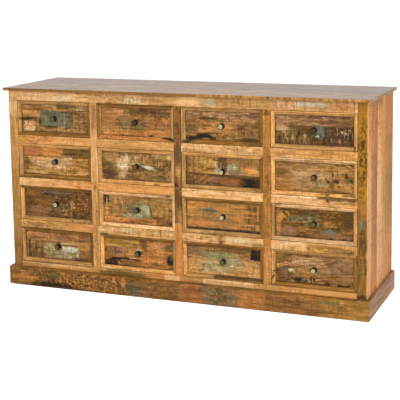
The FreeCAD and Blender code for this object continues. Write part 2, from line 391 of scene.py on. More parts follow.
def shader_node(tree, kind, **settings):
    """A node whose lower-case settings are its own and whose others are its inputs, by name
    or as I and a number, each given as a number, a colour or another node's output."""
    made = tree.nodes.new("ShaderNode" + kind)
    own = [key for key in settings if key[0].islower()]
    for key in own:
        setattr(made, key, settings.pop(key))
    for key, value in settings.items():
        numbered = key[0] == "I" and key[1:].isdigit()
        socket = made.inputs[int(key[1:]) if numbered else key.replace("_", " ")]
        if isinstance(value, bpy.types.NodeSocket):
            tree.links.new(value, socket)
        else:
            socket.default_value = value
    return made


def math_of(tree, operation, a, b=0.0, c=0.0):
    return shader_node(tree, "Math", operation=operation, I0=a, I1=b, I2=c).outputs[0]


def times(tree, a, b):
    return math_of(tree, "MULTIPLY", a, b)


def plus(tree, a, b):
    return math_of(tree, "ADD", a, b)


def minus(tree, a, b):
    return math_of(tree, "SUBTRACT", a, b)


def levels(tree, value, low, high, to_low, to_high):
    """The value stretched from low..high to to_low..to_high and held there."""
    return shader_node(tree, "MapRange", clamp=True, Value=value, From_Min=low, From_Max=high,
                       To_Min=to_low, To_Max=to_high).outputs[0]


def mixed(tree, share, a, b, blend="MIX"):
    return shader_node(tree, "Mix", data_type="RGBA", blend_type=blend, I0=share, I6=a, I7=b).outputs[2]


def noise(tree, where, scale, detail=2.0, rough=0.5, distortion=0.0, offset=(0, 0, 0)):
    """Noise at a place multiplied by scale and moved by offset, so that a large scale along
    an axis makes it fine along that axis."""
    place = shader_node(tree, "Mapping", Vector=where, Scale=scale, Location=offset).outputs[0]
    return shader_node(tree, "TexNoise", Vector=place, Scale=1.0, Detail=detail,
                       Roughness=rough, Distortion=distortion).outputs[0]


def solid(hue, light=1.0):
    """A hue as a colour input, with a share of its light."""
    return (*(HUES[hue] * light), 1)


def stored(tree, name):
    """A layer that each piece carries at its points."""
    return shader_node(tree, "Attribute", attribute_name=name).outputs


def wood_finish(name, roughness=0.48, coat=0.04, saw=1.0, figure=1.0, own_colours=True,
                along=0, polish=0.12):
    """Old wood under varnish: growth figure, fibres, pores, saw marks across the grain,
    dark smudges, and flaking paint where the piece has some. Without own colours the piece
    is a CAD solid: its tone is made here and its grain runs along axis number along."""
    material = bpy.data.materials.new(name)
    material.use_nodes = True
    tree = material.node_tree
    surface = tree.nodes["Principled BSDF"]
    if own_colours:
        where = stored(tree, "grain_at")["Vector"]
        base = stored(tree, "tone")["Color"]
    else:
        placed = shader_node(tree, "TexCoord").outputs["Object"]
        turn = [(0, 0, 0), (0, 0, math.pi / 2), (0, math.pi / 2, 0)][along]
        where = shader_node(tree, "Mapping", Vector=placed, Rotation=turn).outputs[0]
        patches = levels(tree, noise(tree, where, (3, 14, 14)), 0.35, 0.65, 0, 1)
        base = mixed(tree, patches, solid("tan"), solid("bronze"))
    growth = noise(tree, where, (7, 75, 75), 4, 0.6, 0.8)
    growth = levels(tree, growth, 0.3, 0.7, 1 - 0.38 * figure, 1 + 0.26 * figure)
    fibre = levels(tree, noise(tree, where, (30, 620, 620), 2, 0.6), 0.3, 0.7, 0.86, 1.12)
    cut = noise(tree, where, (165, 18, 18), 2, 0.7)
    cut_here = levels(tree, noise(tree, where, (9, 20, 20), 1, offset=(4, 2, 7)), 0.42, 0.6, 0, 1)
    cut = levels(tree, cut, 0.32, 0.62, 1 - 0.45 * saw, 1 + 0.16 * saw)
    cut = plus(tree, times(tree, minus(tree, cut, 1), cut_here), 1)
    shade = times(tree, times(tree, growth, fibre), cut)
    grey = shader_node(tree, "CombineColor", Red=shade, Green=shade,
                       Blue=math_of(tree, "POWER", shade, 1.25)).outputs[0]
    colour = mixed(tree, 1.0, base, grey, "MULTIPLY")
    warm = levels(tree, noise(tree, where, (11, 46, 46), 3, offset=(9, 1, 3)), 0.45, 0.7, 0, 0.22)
    colour = mixed(tree, warm, colour, solid("bronze"), "SOFT_LIGHT")
    smudge = noise(tree, where, (42, 150, 150), 4, 0.7, offset=(1, 8, 5))
    smudge = levels(tree, smudge, 0.54, 0.70, 0, 0.6 * figure)
    colour = mixed(tree, smudge, colour, solid("umber"))
    pores = levels(tree, noise(tree, where, (85, 1300, 1300), 1), 0.60, 0.70, 0, 0.6)
    colour = mixed(tree, pores, colour, solid("umber", 0.6))
    relief = minus(tree, plus(tree, fibre, cut), times(tree, pores, 0.8))
    if own_colours:
        paint = stored(tree, "old_paint")
        worn = noise(tree, where, (70, 170, 170), 6, 0.7, offset=(2, 5, 1))
        left = minus(tree, plus(tree, paint["Alpha"], worn), 1.0)
        left = levels(tree, left, -0.16, 0.26, 0, 0.85)
        left = times(tree, left, levels(tree, cut, 0.75, 1.05, 0.45, 1))
        left = times(tree, left, levels(tree, paint["Alpha"], 0.02, 0.15, 0, 1))
        colour = mixed(tree, left, colour, mixed(tree, 1.0, paint["Color"], grey, "MULTIPLY"))
        relief = plus(tree, relief, times(tree, left, 0.8))
        varnished = minus(tree, 1, left)
        tree.links.new(times(tree, varnished, coat), surface.inputs["Coat Weight"])
        tree.links.new(times(tree, varnished, polish), surface.inputs["Specular IOR Level"])
    else:
        surface.inputs["Coat Weight"].default_value = coat
        surface.inputs["Specular IOR Level"].default_value = polish
    tree.links.new(colour, surface.inputs["Base Color"])
    gloss = levels(tree, growth, 0.75, 1.2, roughness + 0.10, roughness - 0.05)
    tree.links.new(gloss, surface.inputs["Roughness"])
    bump = shader_node(tree, "Bump", Strength=0.5, Distance=0.0006, Height=relief)
    tree.links.new(bump.outputs[0], surface.inputs["Normal"])
    surface.inputs["Coat Roughness"].default_value = 0.22
    return material


def metal_finish(name):
    """Dark antiqued brass: the tone of each knob, its face painted lighter both for worn brass and
    for the light that its dome reflects, with fine hammering."""
    material = bpy.data.materials.new(name)
    material.use_nodes = True
    tree = material.node_tree
    surface = tree.nodes["Principled BSDF"]
    where = stored(tree, "grain_at")["Vector"]
    cloud = noise(tree, where, (190, 190, 190), 4, 0.6)
    tarnish = levels(tree, cloud, 0.35, 0.65, 0, 0.6)
    colour = mixed(tree, tarnish, stored(tree, "tone")["Color"], solid("black", 0.8))
    tree.links.new(colour, surface.inputs["Base Color"])
    surface.inputs["Metallic"].default_value = 0.15
    surface.inputs["Specular IOR Level"].default_value = 0.2
    tree.links.new(levels(tree, cloud, 0.3, 0.7, 0.30, 0.55), surface.inputs["Roughness"])
    hammer = noise(tree, where, (520, 520, 520))
    bump = shader_node(tree, "Bump", Strength=0.4, Distance=0.0004, Height=hammer)
    tree.links.new(bump.outputs[0], surface.inputs["Normal"])
    return material


frame_wood = wood_finish("varnished_frame_wood", saw=0.8, figure=0.8)
front_wood = wood_finish("varnished_drawer_wood", saw=0.8, figure=1.15)
side_wood = wood_finish("varnished_side_wood", coat=0.0, saw=0.6, figure=0.55, polish=0.05)
top_wood = wood_finish("polished_top_wood", roughness=0.36, coat=0.32, saw=0.4, figure=0.9, polish=0.3)
plinth_wood = wood_finish("varnished_plinth_wood", saw=0.7, figure=1.3)
box_wood = wood_finish("planed_box_wood", roughness=0.6, coat=0.0, saw=0.6, figure=0.8)
back_wood = wood_finish("plain_back_wood", roughness=0.65, coat=0.0, saw=0.9, figure=0.8)
antique_metal = metal_finish("antique_brass")

# CAD solids that stay as they are, and the number of the axis that their grain runs along
KEPT_SOLIDS = {"partitions": 2, "drawer_runners": 1, "bottom_board": 0, "plinth_bearers": 0}
for node, along in KEPT_SOLIDS.items():
    inner_wood = wood_finish("planed_wood_" + node, roughness=0.65, coat=0.0, saw=0.6,
                             own_colours=False, along=along)
    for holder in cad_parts[node].material_slots:
        holder.material = inner_wood


# The pieces

X, Y, Z = np.eye(3)
# Spacing of the points on a board's show face
FACE_STEP = 3.6 * MM
PANEL_STEP = 2.4 * MM
SIDE_STEP = 3.8 * MM
TOP_STEP = 4.6 * MM
REAR_STEP = 6 * MM
# The panels lie behind the frame's front, so from the photo's side their marks show this
# far to the right, per column, and this far up, per row.
RECESS_SHIFT = (4.7, 3.9, 3.1, 2.3)
RECESS_LIFT = (1.2, 1.6, 2.0, 2.4)
# The plinth stands forward of the frame, so its marks show this much wider, and this far to
# the left and down.
PLINTH_SPREAD = 1.0058
PLINTH_SHIFT = 9.2
PLINTH_DROP = 4.9


def front_places(points, column=None, row=None):
    """Thousandths of the body's length from its left end and above the floor."""
    u, v = (points[:, 0] + BODY_HALF) * THOUSANDTHS, points[:, 2] * THOUSANDTHS
    if column is not None:
        u, v = u + RECESS_SHIFT[column], v + RECESS_LIFT[row]
    return u, v


def plinth_places(points):
    u, v = front_places(points)
    return PLINTH_SPREAD * u - PLINTH_SHIFT, PLINTH_SPREAD * v - PLINTH_DROP


def side_places(points):
    return (points[:, 1] - FRONT) * THOUSANDTHS, points[:, 2] * THOUSANDTHS


def top_places(points):
    return (points[:, 0] + BODY_HALF) * THOUSANDTHS, (points[:, 1] - FRONT) * THOUSANDTHS


def board(piece, start, along, across, into, length, width, thickness, light, dark, seed,
          marks=(), places=front_places, arris=1.0 * MM, step=FACE_STEP, back_step=40 * MM,
          start_slope=(0, 0), end_slope=(0, 0), uneven=0.3 * MM, slant=0, contrast=1.0, shade_and_grime=None):
    """One board: a rounded rectangle carried along its length. The show face sinks by noise
    of up to uneven, as old wood does, and never stands proud. Slant turns the grain by
    degrees, a darkening function, if given, multiplies each point's tone by the share that
    painted shade and dirt leave, and seed fixes all noise."""
    profile = outline(width, thickness, arris, step, back_step)
    points, quads, fans, grain = carried(profile, start, along, across, into, length, step, arris,
                                         start_slope, end_slope)
    if uneven:
        dip = 0.5 + 0.5 * smooth_noise(grain[:, 0] / 0.045, grain[:, 1] / 0.012, seed + 5)
        near = np.clip(1 - grain[:, 2] / (1.5 * arris + 1e-6), 0, 1)
        points = points + (uneven * dip * near)[:, None] * np.array(into, float)
    c, s = math.cos(math.radians(slant)), math.sin(math.radians(slant))
    grain = np.c_[grain[:, 0] * c + grain[:, 1] * s, grain[:, 1] * c - grain[:, 0] * s, grain[:, 2]]
    tone = figured(grain[:, 0] * THOUSANDTHS, grain[:, 1] * THOUSANDTHS, light, dark, seed, contrast)
    paint = np.zeros((len(points), 4))
    paint[:, :3] = HUES["sage"]
    if marks:
        tone, paint = laid(tone, paint, *places(points), marks, seed)
    # Painted shade and dirt: the tone is multiplied by the share left at each point.
    if shade_and_grime is not None:
        tone = tone * shade_and_grime(points)[:, None]
    draw = np.random.default_rng(seed).uniform(0, 40, 3)
    piece.add((points, quads, fans, grain + draw), tone, paint)


# Moulding section: (inward from the drawer's edge, proud of the panel). A flat lip, then a
# slope down to a low inner edge, with small round corners.
MOULDING_WIDTH = 17 * MM
MOULDING = np.array([
    (0, 0), (0, 6), (0, 11.6), (0.3, 12.6), (1.3, 13), (3.2, 13), (4.4, 12.8), (5.2, 12.3),
    (7.5, 10.4), (10.5, 7.9), (13.5, 5.5), (15.6, 3.9), (16.6, 3.0), (17, 2.2), (17, 1), (17, 0),
    (12, 0), (6, 0),
]) * MM

# Each drawer: light and dark hue of each plank of its panel from below, the seams between them
# as shares of the panel's height, hues of the top, bottom, left and right moulding, hue of the
# knob's face, marks on the panel and marks on the mouldings. The moulding hues hold painted
# light besides their own colour: the top and right ones are set lighter against the shade on
# their slopes. The knob's face hue is painted partly for worn brass and partly for the light
# its dome reflects. Painted shade is among the marks too: the dark bands along the lower edge
# of some panels are the shade of the recess under the bottom moulding, and the dark lines along
# the mouldings' edges paint the shade of the gaps and corners beside them along with dirt.
DRAWERS = {
    "r1c1": dict(
        planks=[("tan", "brown")], mouldings=("tan", "bronze", "tan", "bronze"), knob="moss",
        marks=[
            block("rust", 42, 104, 490, 508, 0.35), line("peach", 104, 503, 146, 499, 4, 0.6),
            block("sand", 196, 245, 490, 508, 0.6), patch("olive", 174, 500, 60, 16, 0.85, -6),
            line("umber", 42, 489, 104, 489, 2, 0.7), line("umber", 196, 489, 245, 489, 2, 0.7),
            block("honey", 44, 96, 468, 487, 0.5), patch("umber", 60, 464, 52, 9, 0.9, 4),
            patch("black", 54, 463, 26, 6, 0.7, 4), block("peach", 47, 81, 430, 456, 0.7),
            line("umber", 84, 430, 84, 460, 3, 0.6), streaks("umber", 45, 95, 430, 456, 0.4, 6, 4, 0.3),
            streaks("umber", 190, 243, 432, 490, 0.6, 5, 12, 0.3),
            streaks("tan", 196, 240, 432, 488, 0.6, 4, 14, 0.3), patch("honey", 152, 443, 34, 16, 0.7),
            block("tan", 196, 243, 430, 441, 0.5), block("moss", 97, 192, 443, 486, 0.7),
            block("slate", 97, 190, 444, 485, 0.6), patch("slate", 172, 466, 40, 30, 0.6),
            block("slate", 100, 188, 446, 483, 0.5, paint=True),
            streaks("sage", 99, 170, 446, 482, 0.55, 2.6, 22, 0.3),
            streaks("slate", 110, 190, 450, 484, 0.45, 3, 14, 0.3), patch("umber", 97, 456, 8, 20, 0.8),
            patch("umber", 122, 443, 44, 6, 0.85), line("sand", 171, 432, 171, 480, 2, 0.7),
            line("umber", 178, 432, 178, 455, 2, 0.5), patch("umber", 100, 431, 14, 6, 0.7),
            streaks("umber", 45, 243, 428, 505, 0.35, 9, 3, 0.25),
        ],
        frame_marks=[
            line("umber", 28, 423, 245, 425, 2, 0.7), line("umber", 38, 430, 38, 505, 1.6, 0.6),
            patch("umber", 34, 463, 12, 8, 0.7), block("olive", 150, 200, 505, 511, 0.5),
        ]),
    "r1c2": dict(
        planks=[("tan", "brown")], mouldings=("bronze", "orange", "bronze", "tan"), knob="umber",
        marks=[
            block("clay", 283, 345, 450, 500, 0.45), streaks("clay", 290, 340, 468, 494, 0.7, 5, 8, 0.35),
            patch("clay", 450, 462, 72, 34, 0.6), block("orange", 290, 485, 430, 446, 0.55),
            patch("olive", 382, 493, 60, 15, 0.85), streaks("umber", 355, 412, 484, 500, 0.6, 5, 3, 0.4),
            patch("plum", 445, 492, 80, 20, 0.6, -8), streaks("umber", 400, 487, 470, 505, 0.45, 8, 3),
            patch("moss", 372, 460, 82, 26, 0.45), streaks("sage", 340, 420, 450, 474, 0.5, 7, 3, 0.35),
            flecks("umber", 330, 464, 18, 26, 0.85, 4, 4), patch("black", 345, 430.5, 7, 6, 0.95),
            patch("umber", 427, 432, 14, 5, 0.85), line("honey", 442, 432, 486, 431, 2.4, 0.7),
            streaks("umber", 283, 487, 430, 505, 0.35, 10, 2.6, 0.3),
            streaks("umber", 300, 480, 430, 470, 0.3, 3, 10, 0.25),
        ],
        frame_marks=[
            line("black", 458, 429, 490, 422, 5.5, 0.98), line("umber", 283, 428, 420, 428, 1.6, 0.6),
            line("tan", 278.5, 424, 278.5, 505, 3, 0.7), line("umber", 268, 509, 488, 509, 2.4, 0.6),
            block("umber", 280, 330, 417, 424, 0.4),
        ]),
    "r1c3": dict(
        planks=[("tan", "brown")], mouldings=("tan", "bronze", "tan", "bronze"), knob="stone",
        marks=[
            block("mauve", 523, 727, 484, 506, 0.6), streaks("sand", 530, 720, 486, 504, 0.5, 9, 3),
            patch("umber", 582, 484, 62, 6, 0.8), line("umber", 615, 479, 727, 478, 2.2, 0.6),
            streaks("umber", 523, 727, 480, 506, 0.4, 8, 3),
            streaks("brown", 526, 727, 440, 480, 0.45, 2.6, 18, 0.3), patch("brown", 690, 460, 90, 38, 0.5),
            patch("plum", 674, 463, 20, 12, 0.75), flecks("plum", 694, 450, 60, 14, 0.85, 4, 3, 0.45),
            patch("olive", 542, 458, 32, 16, 0.8), streaks("umber", 523, 560, 448, 474, 0.5, 5, 3),
            patch("plum", 710, 496, 36, 14, 0.5), streaks("orange", 560, 665, 442, 478, 0.6, 12, 4),
            line("black", 518, 429, 566, 436, 8, 1.0), line("black", 560, 438, 584, 441, 10, 1.0),
            line("black", 580, 439, 604, 434, 7, 1.0), flecks("olive", 622, 438, 56, 12, 0.85, 5, 3, 0.6),
            patch("umber", 692, 433, 74, 9, 0.85), patch("plum", 705, 434, 40, 6, 0.6),
            line("black", 522.5, 430, 522.5, 503, 2.2, 0.95),
            streaks("umber", 523, 727, 430, 480, 0.35, 12, 2.4),
        ],
        frame_marks=[
            line("cream", 520, 424, 520, 470, 1.8, 0.6), patch("black", 530, 424, 36, 7, 0.8, 8),
            patch("umber", 700, 424, 60, 6, 0.5), line("umber", 512, 509, 730, 509, 2, 0.5),
        ]),
    "r1c4": dict(
        planks=[("brown", "umber"), ("mauve", "brown")], seams=(0.6,), slant=4,
        mouldings=("honey", "tan", "honey", "honey"), knob="umber",
        marks=[
            streaks("sand", 763, 900, 474, 505, 0.5, 12, 2.2, 0.3),
            streaks("plum", 850, 968, 480, 506, 0.6, 14, 3, 0.4),
            streaks("umber", 763, 968, 474, 506, 0.4, 12, 2), line("tan", 770, 478, 840, 492, 2, 0.5),
            patch("sand", 782, 469, 40, 13, 0.85), patch("moss", 810, 463, 14, 24, 0.75),
            streaks("sand", 764, 862, 430, 462, 0.5, 2, 14, 0.28),
            streaks("sage", 764, 862, 430, 462, 0.4, 2.4, 12, 0.25), patch("umber", 835, 458, 40, 14, 0.5),
            patch("slate", 880, 462, 40, 32, 0.8), line("black", 895, 450, 895, 471, 4, 0.9),
            patch("chalk", 843, 452, 9, 7, 0.6), patch("chalk", 874, 451, 12, 5, 0.7),
            block("plum", 900, 966, 430, 474, 0.75), streaks("sand", 900, 966, 436, 474, 0.5, 2, 9, 0.25),
            flecks("cream", 936, 460, 34, 14, 0.7, 3, 3, 0.35), patch("black", 956, 452, 9, 24, 0.7),
            streaks("black", 763, 966, 429, 462, 0.6, 3, 12, 0.34),
            line("umber", 820, 474, 905, 476, 2, 0.6),
        ],
        frame_marks=[
            line("cream", 800, 417.5, 925, 417.5, 2, 0.75), line("umber", 763, 507, 967, 507, 1.6, 0.6),
            patch("umber", 967, 425, 6, 14, 0.8), line("umber", 763, 428, 763, 505, 1.4, 0.5),
        ]),
    "r2c1": dict(
        planks=[("honey", "bronze"), ("orange", "brown")], seams=(0.634,),
        mouldings=("honey", "bronze", "tan", "bronze"), knob="slate",
        marks=[
            streaks("orange", 44, 160, 363, 388, 0.75, 10, 5, 0.5), patch("orange", 125, 373, 56, 14, 0.8),
            patch("clay", 64, 374, 46, 20, 0.8), line("clay", 118, 380, 165, 385, 2.4, 0.8),
            block("olive", 164, 243, 362, 388, 0.8), streaks("umber", 165, 243, 362, 388, 0.6, 9, 3),
            patch("umber", 196, 372, 20, 8, 0.6), line("umber", 42, 361.5, 243, 361.5, 1.6, 0.6),
            line("cream", 166, 359, 191, 360, 3, 0.85), patch("olive", 50, 343, 20, 36, 0.85),
            patch("olive", 66, 344, 30, 10, 0.7), flecks("umber", 50, 345, 26, 34, 0.7, 4, 6),
            patch("sand", 132, 344, 110, 32, 0.75), streaks("peach", 80, 190, 330, 358, 0.5, 12, 2.2),
            streaks("bronze", 180, 243, 316, 358, 0.7, 16, 3, 0.4), patch("gold", 150, 323, 84, 9, 0.65),
            streaks("olive", 130, 240, 314, 330, 0.6, 14, 2.4), patch("umber", 122, 318, 16, 4, 0.8),
            streaks("umber", 60, 243, 311, 350, 0.35, 9, 2.4), patch("sand", 85, 318, 70, 8, 0.5),
        ],
        frame_marks=[
            line("umber", 40, 311.5, 243, 311.5, 2, 0.7), line("umber", 26, 303, 245, 304, 1.6, 0.5),
            line("umber", 60, 396, 235, 393, 1.4, 0.5), line("umber", 41, 312, 41, 388, 1.6, 0.5),
        ]),
    "r2c2": dict(
        planks=[("tan", "olive")], mouldings=("honey", "honey", "tan", "peach"), knob="brown",
        marks=[
            streaks("umber", 283, 487, 311, 388, 0.4, 9, 3),
            streaks("umber", 300, 487, 311, 388, 0.4, 3, 9, 0.3), patch("plum", 302, 324, 42, 28, 0.8),
            line("olive", 284, 362, 330, 334, 11, 0.8), flecks("umber", 306, 344, 50, 26, 0.7, 6, 3),
            patch("tan", 306, 374, 40, 16, 0.5), patch("sand", 343, 352, 42, 44, 0.8),
            flecks("cream", 346, 356, 40, 40, 0.8, 4, 7, 0.55), patch("sand", 340, 324, 24, 18, 0.7),
            flecks("cream", 340, 322, 24, 16, 0.6, 4, 4),
            streaks("cream", 345, 410, 362, 380, 0.5, 2.6, 12, 0.3), patch("cream", 382, 356, 26, 7, 0.6),
            patch("cream", 414, 348, 40, 9, 0.85, -12), patch("chalk", 418, 347, 22, 5, 0.7, -12),
            flecks("moss", 395, 340, 50, 20, 0.6), patch("brown", 375, 321, 50, 10, 0.7, -12),
            line("plum", 356, 324, 392, 312, 3, 0.7), patch("olive", 430, 322, 60, 16, 0.6),
            streaks("gold", 425, 480, 372, 388, 0.6, 12, 2.4), patch("peach", 478, 378, 14, 18, 0.6),
            flecks("umber", 465, 345, 44, 60, 0.7, 5, 4, 0.35),
            flecks("olive", 440, 352, 60, 50, 0.6, 6, 4),
        ],
        frame_marks=[
            line("umber", 282, 311, 282, 388, 2, 0.7), line("umber", 275, 393, 488, 393, 1.4, 0.5),
            patch("rust", 440, 303, 16, 6, 0.8), line("umber", 283, 310.5, 485, 310.5, 1.4, 0.5),
        ]),
    "r2c3": dict(
        planks=[("brown", "umber"), ("tan", "bronze")], seams=(0.413,),
        mouldings=("honey", "tan", "tan", "bronze"), knob="stone",
        marks=[
            streaks("umber", 523, 727, 342, 388, 0.35, 3, 14), block("brown", 525, 534, 342, 387, 0.85),
            block("brown", 541, 547, 342, 387, 0.75), streaks("gold", 552, 612, 342, 388, 0.6, 8, 5, 0.4),
            block("plum", 613, 636, 350, 388, 0.75), streaks("mauve", 634, 682, 366, 388, 0.8, 5, 5, 0.5),
            streaks("chalk", 600, 640, 342, 372, 0.6, 2, 22, 0.22), patch("sea", 650, 362, 28, 17, 0.8),
            patch("sea", 616, 350, 24, 14, 0.7), patch("slate", 658, 348, 44, 16, 0.6),
            patch("chalk", 657, 363, 12, 8, 0.6), patch("brown", 700, 376, 50, 18, 0.5),
            patch("orange", 706, 352, 44, 14, 0.75, -12), line("umber", 523, 341, 727, 341, 1.8, 0.8),
            streaks("tan", 530, 600, 312, 338, 0.3, 3, 5, 0.3), line("tan", 548, 313, 580, 338, 3, 0.5),
            line("tan", 566, 312, 600, 336, 3, 0.5), patch("mauve", 606, 328, 40, 14, 0.6),
            patch("clay", 645, 322, 50, 20, 0.5), patch("black", 702, 323, 54, 24, 0.95),
            patch("black", 688, 315, 22, 8, 0.9), flecks("rust", 708, 326, 40, 16, 0.5, 5, 3, 0.25),
        ],
        frame_marks=[
            line("umber", 521.5, 311, 521.5, 388, 1.8, 0.5),
            line("umber", 523, 310.5, 727, 310.5, 1.4, 0.5), patch("umber", 716, 306, 24, 6, 0.5),
        ]),
    "r2c4": dict(
        planks=[("tan", "bronze")], mouldings=("peach", "honey", "honey", "honey"), knob="olive",
        marks=[
            streaks("umber", 763, 968, 311, 388, 0.3, 12, 3), patch("olive", 776, 362, 34, 16, 0.8),
            block("brown", 768, 812, 374, 388, 0.6), block("mauve", 830, 876, 375, 387, 0.75),
            streaks("umber", 765, 968, 373, 389, 0.5, 14, 2), patch("rust", 792, 330, 44, 34, 0.4),
            patch("sand", 850, 350, 90, 44, 0.5), streaks("sage", 815, 895, 322, 372, 0.45, 3, 10, 0.3),
            patch("sage", 884, 334, 44, 16, 0.5), streaks("black", 895, 950, 350, 364, 0.85, 2.4, 12, 0.42),
            streaks("black", 893, 944, 336, 350, 0.9, 3, 10, 0.46),
            streaks("umber", 900, 950, 318, 336, 0.7, 3, 12, 0.3), patch("moss", 958, 346, 20, 12, 0.8),
            patch("black", 960, 345, 9, 7, 0.95), line("umber", 934, 387, 966, 368, 2, 0.7),
            line("honey", 940, 388, 966, 374, 2.4, 0.6), patch("umber", 925, 315, 90, 8, 0.75, -6),
            flecks("orange", 935, 328, 50, 20, 0.6, 5, 4), patch("black", 958, 308, 22, 6, 0.8, -10),
            streaks("brown", 763, 968, 311, 388, 0.4, 14, 3, 0.35),
        ],
        frame_marks=[
            line("umber", 763, 312, 763, 388, 1.6, 0.5),
            streaks("umber", 880, 970, 301, 310, 0.7, 14, 2.2, 0.45),
            line("umber", 765, 388.5, 968, 388.5, 1.6, 0.6),
        ]),
    "r3c1": dict(
        planks=[("brown", "umber")], mouldings=("bronze", "tan", "honey", "brown"), knob="stone",
        marks=[
            streaks("black", 42, 243, 193, 271, 0.45, 8, 3, 0.35), patch("slate", 135, 262, 84, 14, 0.6),
            patch("black", 118, 258, 36, 7, 0.7), patch("black", 160, 253, 30, 6, 0.6),
            patch("bronze", 64, 258, 44, 20, 0.6), flecks("tan", 62, 264, 24, 8, 0.6),
            patch("bronze", 100, 236, 60, 20, 0.5), patch("mauve", 84, 213, 84, 22, 0.55),
            flecks("moss", 170, 228, 44, 16, 0.8, 6, 3, 0.45), patch("slate", 150, 221, 24, 6, 0.5),
            flecks("pink", 186, 230, 18, 36, 0.95, 3.2, 4, 0.6), patch("clay", 181, 241, 7, 6, 0.9),
            flecks("tan", 165, 210, 56, 24, 0.7, 4, 3.4, 0.4),
            flecks("clay", 222, 232, 44, 66, 0.7, 5, 3, 0.4), line("tan", 44, 199, 116, 196, 2.2, 0.7),
            streaks("bronze", 42, 243, 193, 271, 0.45, 8, 2.6, 0.3), patch("umber", 52, 232, 20, 40, 0.5),
            flecks("umber", 222, 215, 40, 40, 0.7, 4, 4, 0.4),
            flecks("bronze", 140, 232, 220, 80, 0.5, 3.4, 2.4, 0.3),
            flecks("black", 140, 232, 220, 80, 0.5, 3, 2.6, 0.25),
        ],
        frame_marks=[
            line("umber", 30, 272.5, 245, 272.5, 2.6, 0.8),
            flecks("umber", 200, 187, 90, 12, 0.6, 4, 3, 0.4), block("rust", 33, 37, 193, 215, 0.5),
        ]),
    "r3c2": dict(
        planks=[("orange", "rust"), ("tan", "bronze")], seams=(0.265,),
        mouldings=("peach", "peach", "honey", "peach"), knob="moss",
        marks=[
            streaks("brown", 296, 345, 212, 268, 0.5, 2.6, 20, 0.35), patch("black", 291, 256, 18, 26, 0.9),
            line("peach", 292, 212, 292, 262, 2, 0.7), patch("moss", 329, 248, 12, 20, 0.6),
            patch("pink", 338, 250, 9, 14, 0.6), flecks("slate", 332, 228, 26, 30, 0.6, 3, 6),
            patch("sage", 388, 232, 78, 40, 0.6), block("sage", 364, 424, 210, 250, 0.75, paint=True),
            patch("moss", 366, 238, 34, 24, 0.6), patch("sea", 408, 234, 30, 24, 0.7, paint=True),
            flecks("sea", 370, 216, 70, 18, 0.7, 6, 3, 0.5), line("moss", 417, 248, 424, 219, 4, 0.95),
            line("umber", 421, 236, 424, 220, 2.4, 0.7),
            streaks("orange", 284, 345, 193, 210, 0.75, 12, 4, 0.6), patch("brown", 392, 201, 60, 10, 0.6),
            block("umber", 436, 487, 193, 212, 0.6), streaks("umber", 360, 487, 193, 209, 0.6, 9, 3),
            patch("tan", 455, 240, 56, 40, 0.4), patch("umber", 476, 240, 5, 14, 0.7),
            patch("plum", 400, 262, 130, 8, 0.3), streaks("umber", 300, 487, 212, 270, 0.35, 4, 9, 0.3),
            line("sand", 300, 207, 350, 208, 2, 0.5),
        ],
        frame_marks=[
            line("umber", 268, 277.5, 455, 276, 1.4, 0.5), patch("umber", 471, 274, 22, 6, 0.8, 10),
            line("umber", 281.5, 193, 281.5, 270, 1.6, 0.6),
            line("umber", 284, 192.5, 485, 192.5, 1.4, 0.5),
        ]),
    "r3c3": dict(
        planks=[("tan", "bronze")], mouldings=("bronze", "tan", "tan", "bronze"), knob="stone",
        contrast=0.6,
        marks=[
            # The first two marks are painted shade: a dark band along the panel's lower edge, in the recess
            # under the bottom moulding.
            line("black", 522, 197, 727, 198, 5, 0.9),
            streaks("black", 522, 727, 193, 202, 0.8, 12, 4, 0.4), patch("orange", 552, 260, 60, 20, 0.9),
            patch("slate", 588, 248, 44, 11, 0.85, 4), patch("moss", 592, 243, 28, 12, 0.6),
            patch("mauve", 600, 224, 28, 20, 0.75), patch("sage", 640, 228, 26, 24, 0.35),
            patch("brown", 704, 232, 36, 70, 0.65), streaks("umber", 685, 727, 200, 268, 0.6, 3, 16, 0.4),
            line("tan", 718, 205, 718, 265, 2, 0.8),
            streaks("brown", 620, 700, 203, 268, 0.45, 2.6, 20, 0.35),
            streaks("brown", 527, 620, 203, 268, 0.4, 16, 2.2, 0.35),
            streaks("orange", 523, 727, 200, 270, 0.5, 30, 5, 0.4), patch("orange", 570, 212, 70, 14, 0.4),
        ],
        frame_marks=[
            line("umber", 520.5, 200, 520.5, 268, 2, 0.7), line("umber", 522, 272, 727, 271.5, 2, 0.6),
            line("umber", 560, 185, 727, 186, 1.6, 0.5),
        ]),
    "r3c4": dict(
        planks=[("bronze", "umber")], mouldings=("peach", "sand", "tan", "honey"), knob="moss",
        marks=[
            # The first two marks are painted shade: a dark band along the panel's lower edge, in the recess
            # under the bottom moulding.
            line("umber", 763, 196, 900, 197, 3, 0.8),
            streaks("black", 890, 968, 192, 201, 1.0, 10, 5, 0.6),
            streaks("umber", 763, 968, 193, 271, 0.4, 9, 3), patch("orange", 772, 232, 16, 60, 0.7),
            flecks("gold", 786, 246, 34, 34, 0.8, 5, 6, 0.55), patch("slate", 805, 240, 16, 12, 0.85),
            patch("umber", 805, 238, 8, 8, 0.8), patch("mauve", 796, 210, 40, 24, 0.8),
            flecks("plum", 796, 210, 36, 20, 0.6), patch("moss", 845, 248, 70, 16, 0.6, 6),
            flecks("sage", 850, 238, 80, 30, 0.6, 6, 3, 0.4), patch("slate", 903, 214, 36, 14, 0.8),
            patch("umber", 950, 246, 34, 44, 0.85), patch("umber", 930, 228, 26, 18, 0.7),
            flecks("tan", 915, 226, 70, 36, 0.4, 5, 3.4, 0.4), patch("mauve", 915, 203, 100, 10, 0.7),
            flecks("tan", 850, 212, 60, 20, 0.5, 6, 3), flecks("umber", 890, 255, 130, 26, 0.7, 5, 3, 0.4),
            line("honey", 780, 268, 860, 268, 2.4, 0.5),
        ],
        frame_marks=[
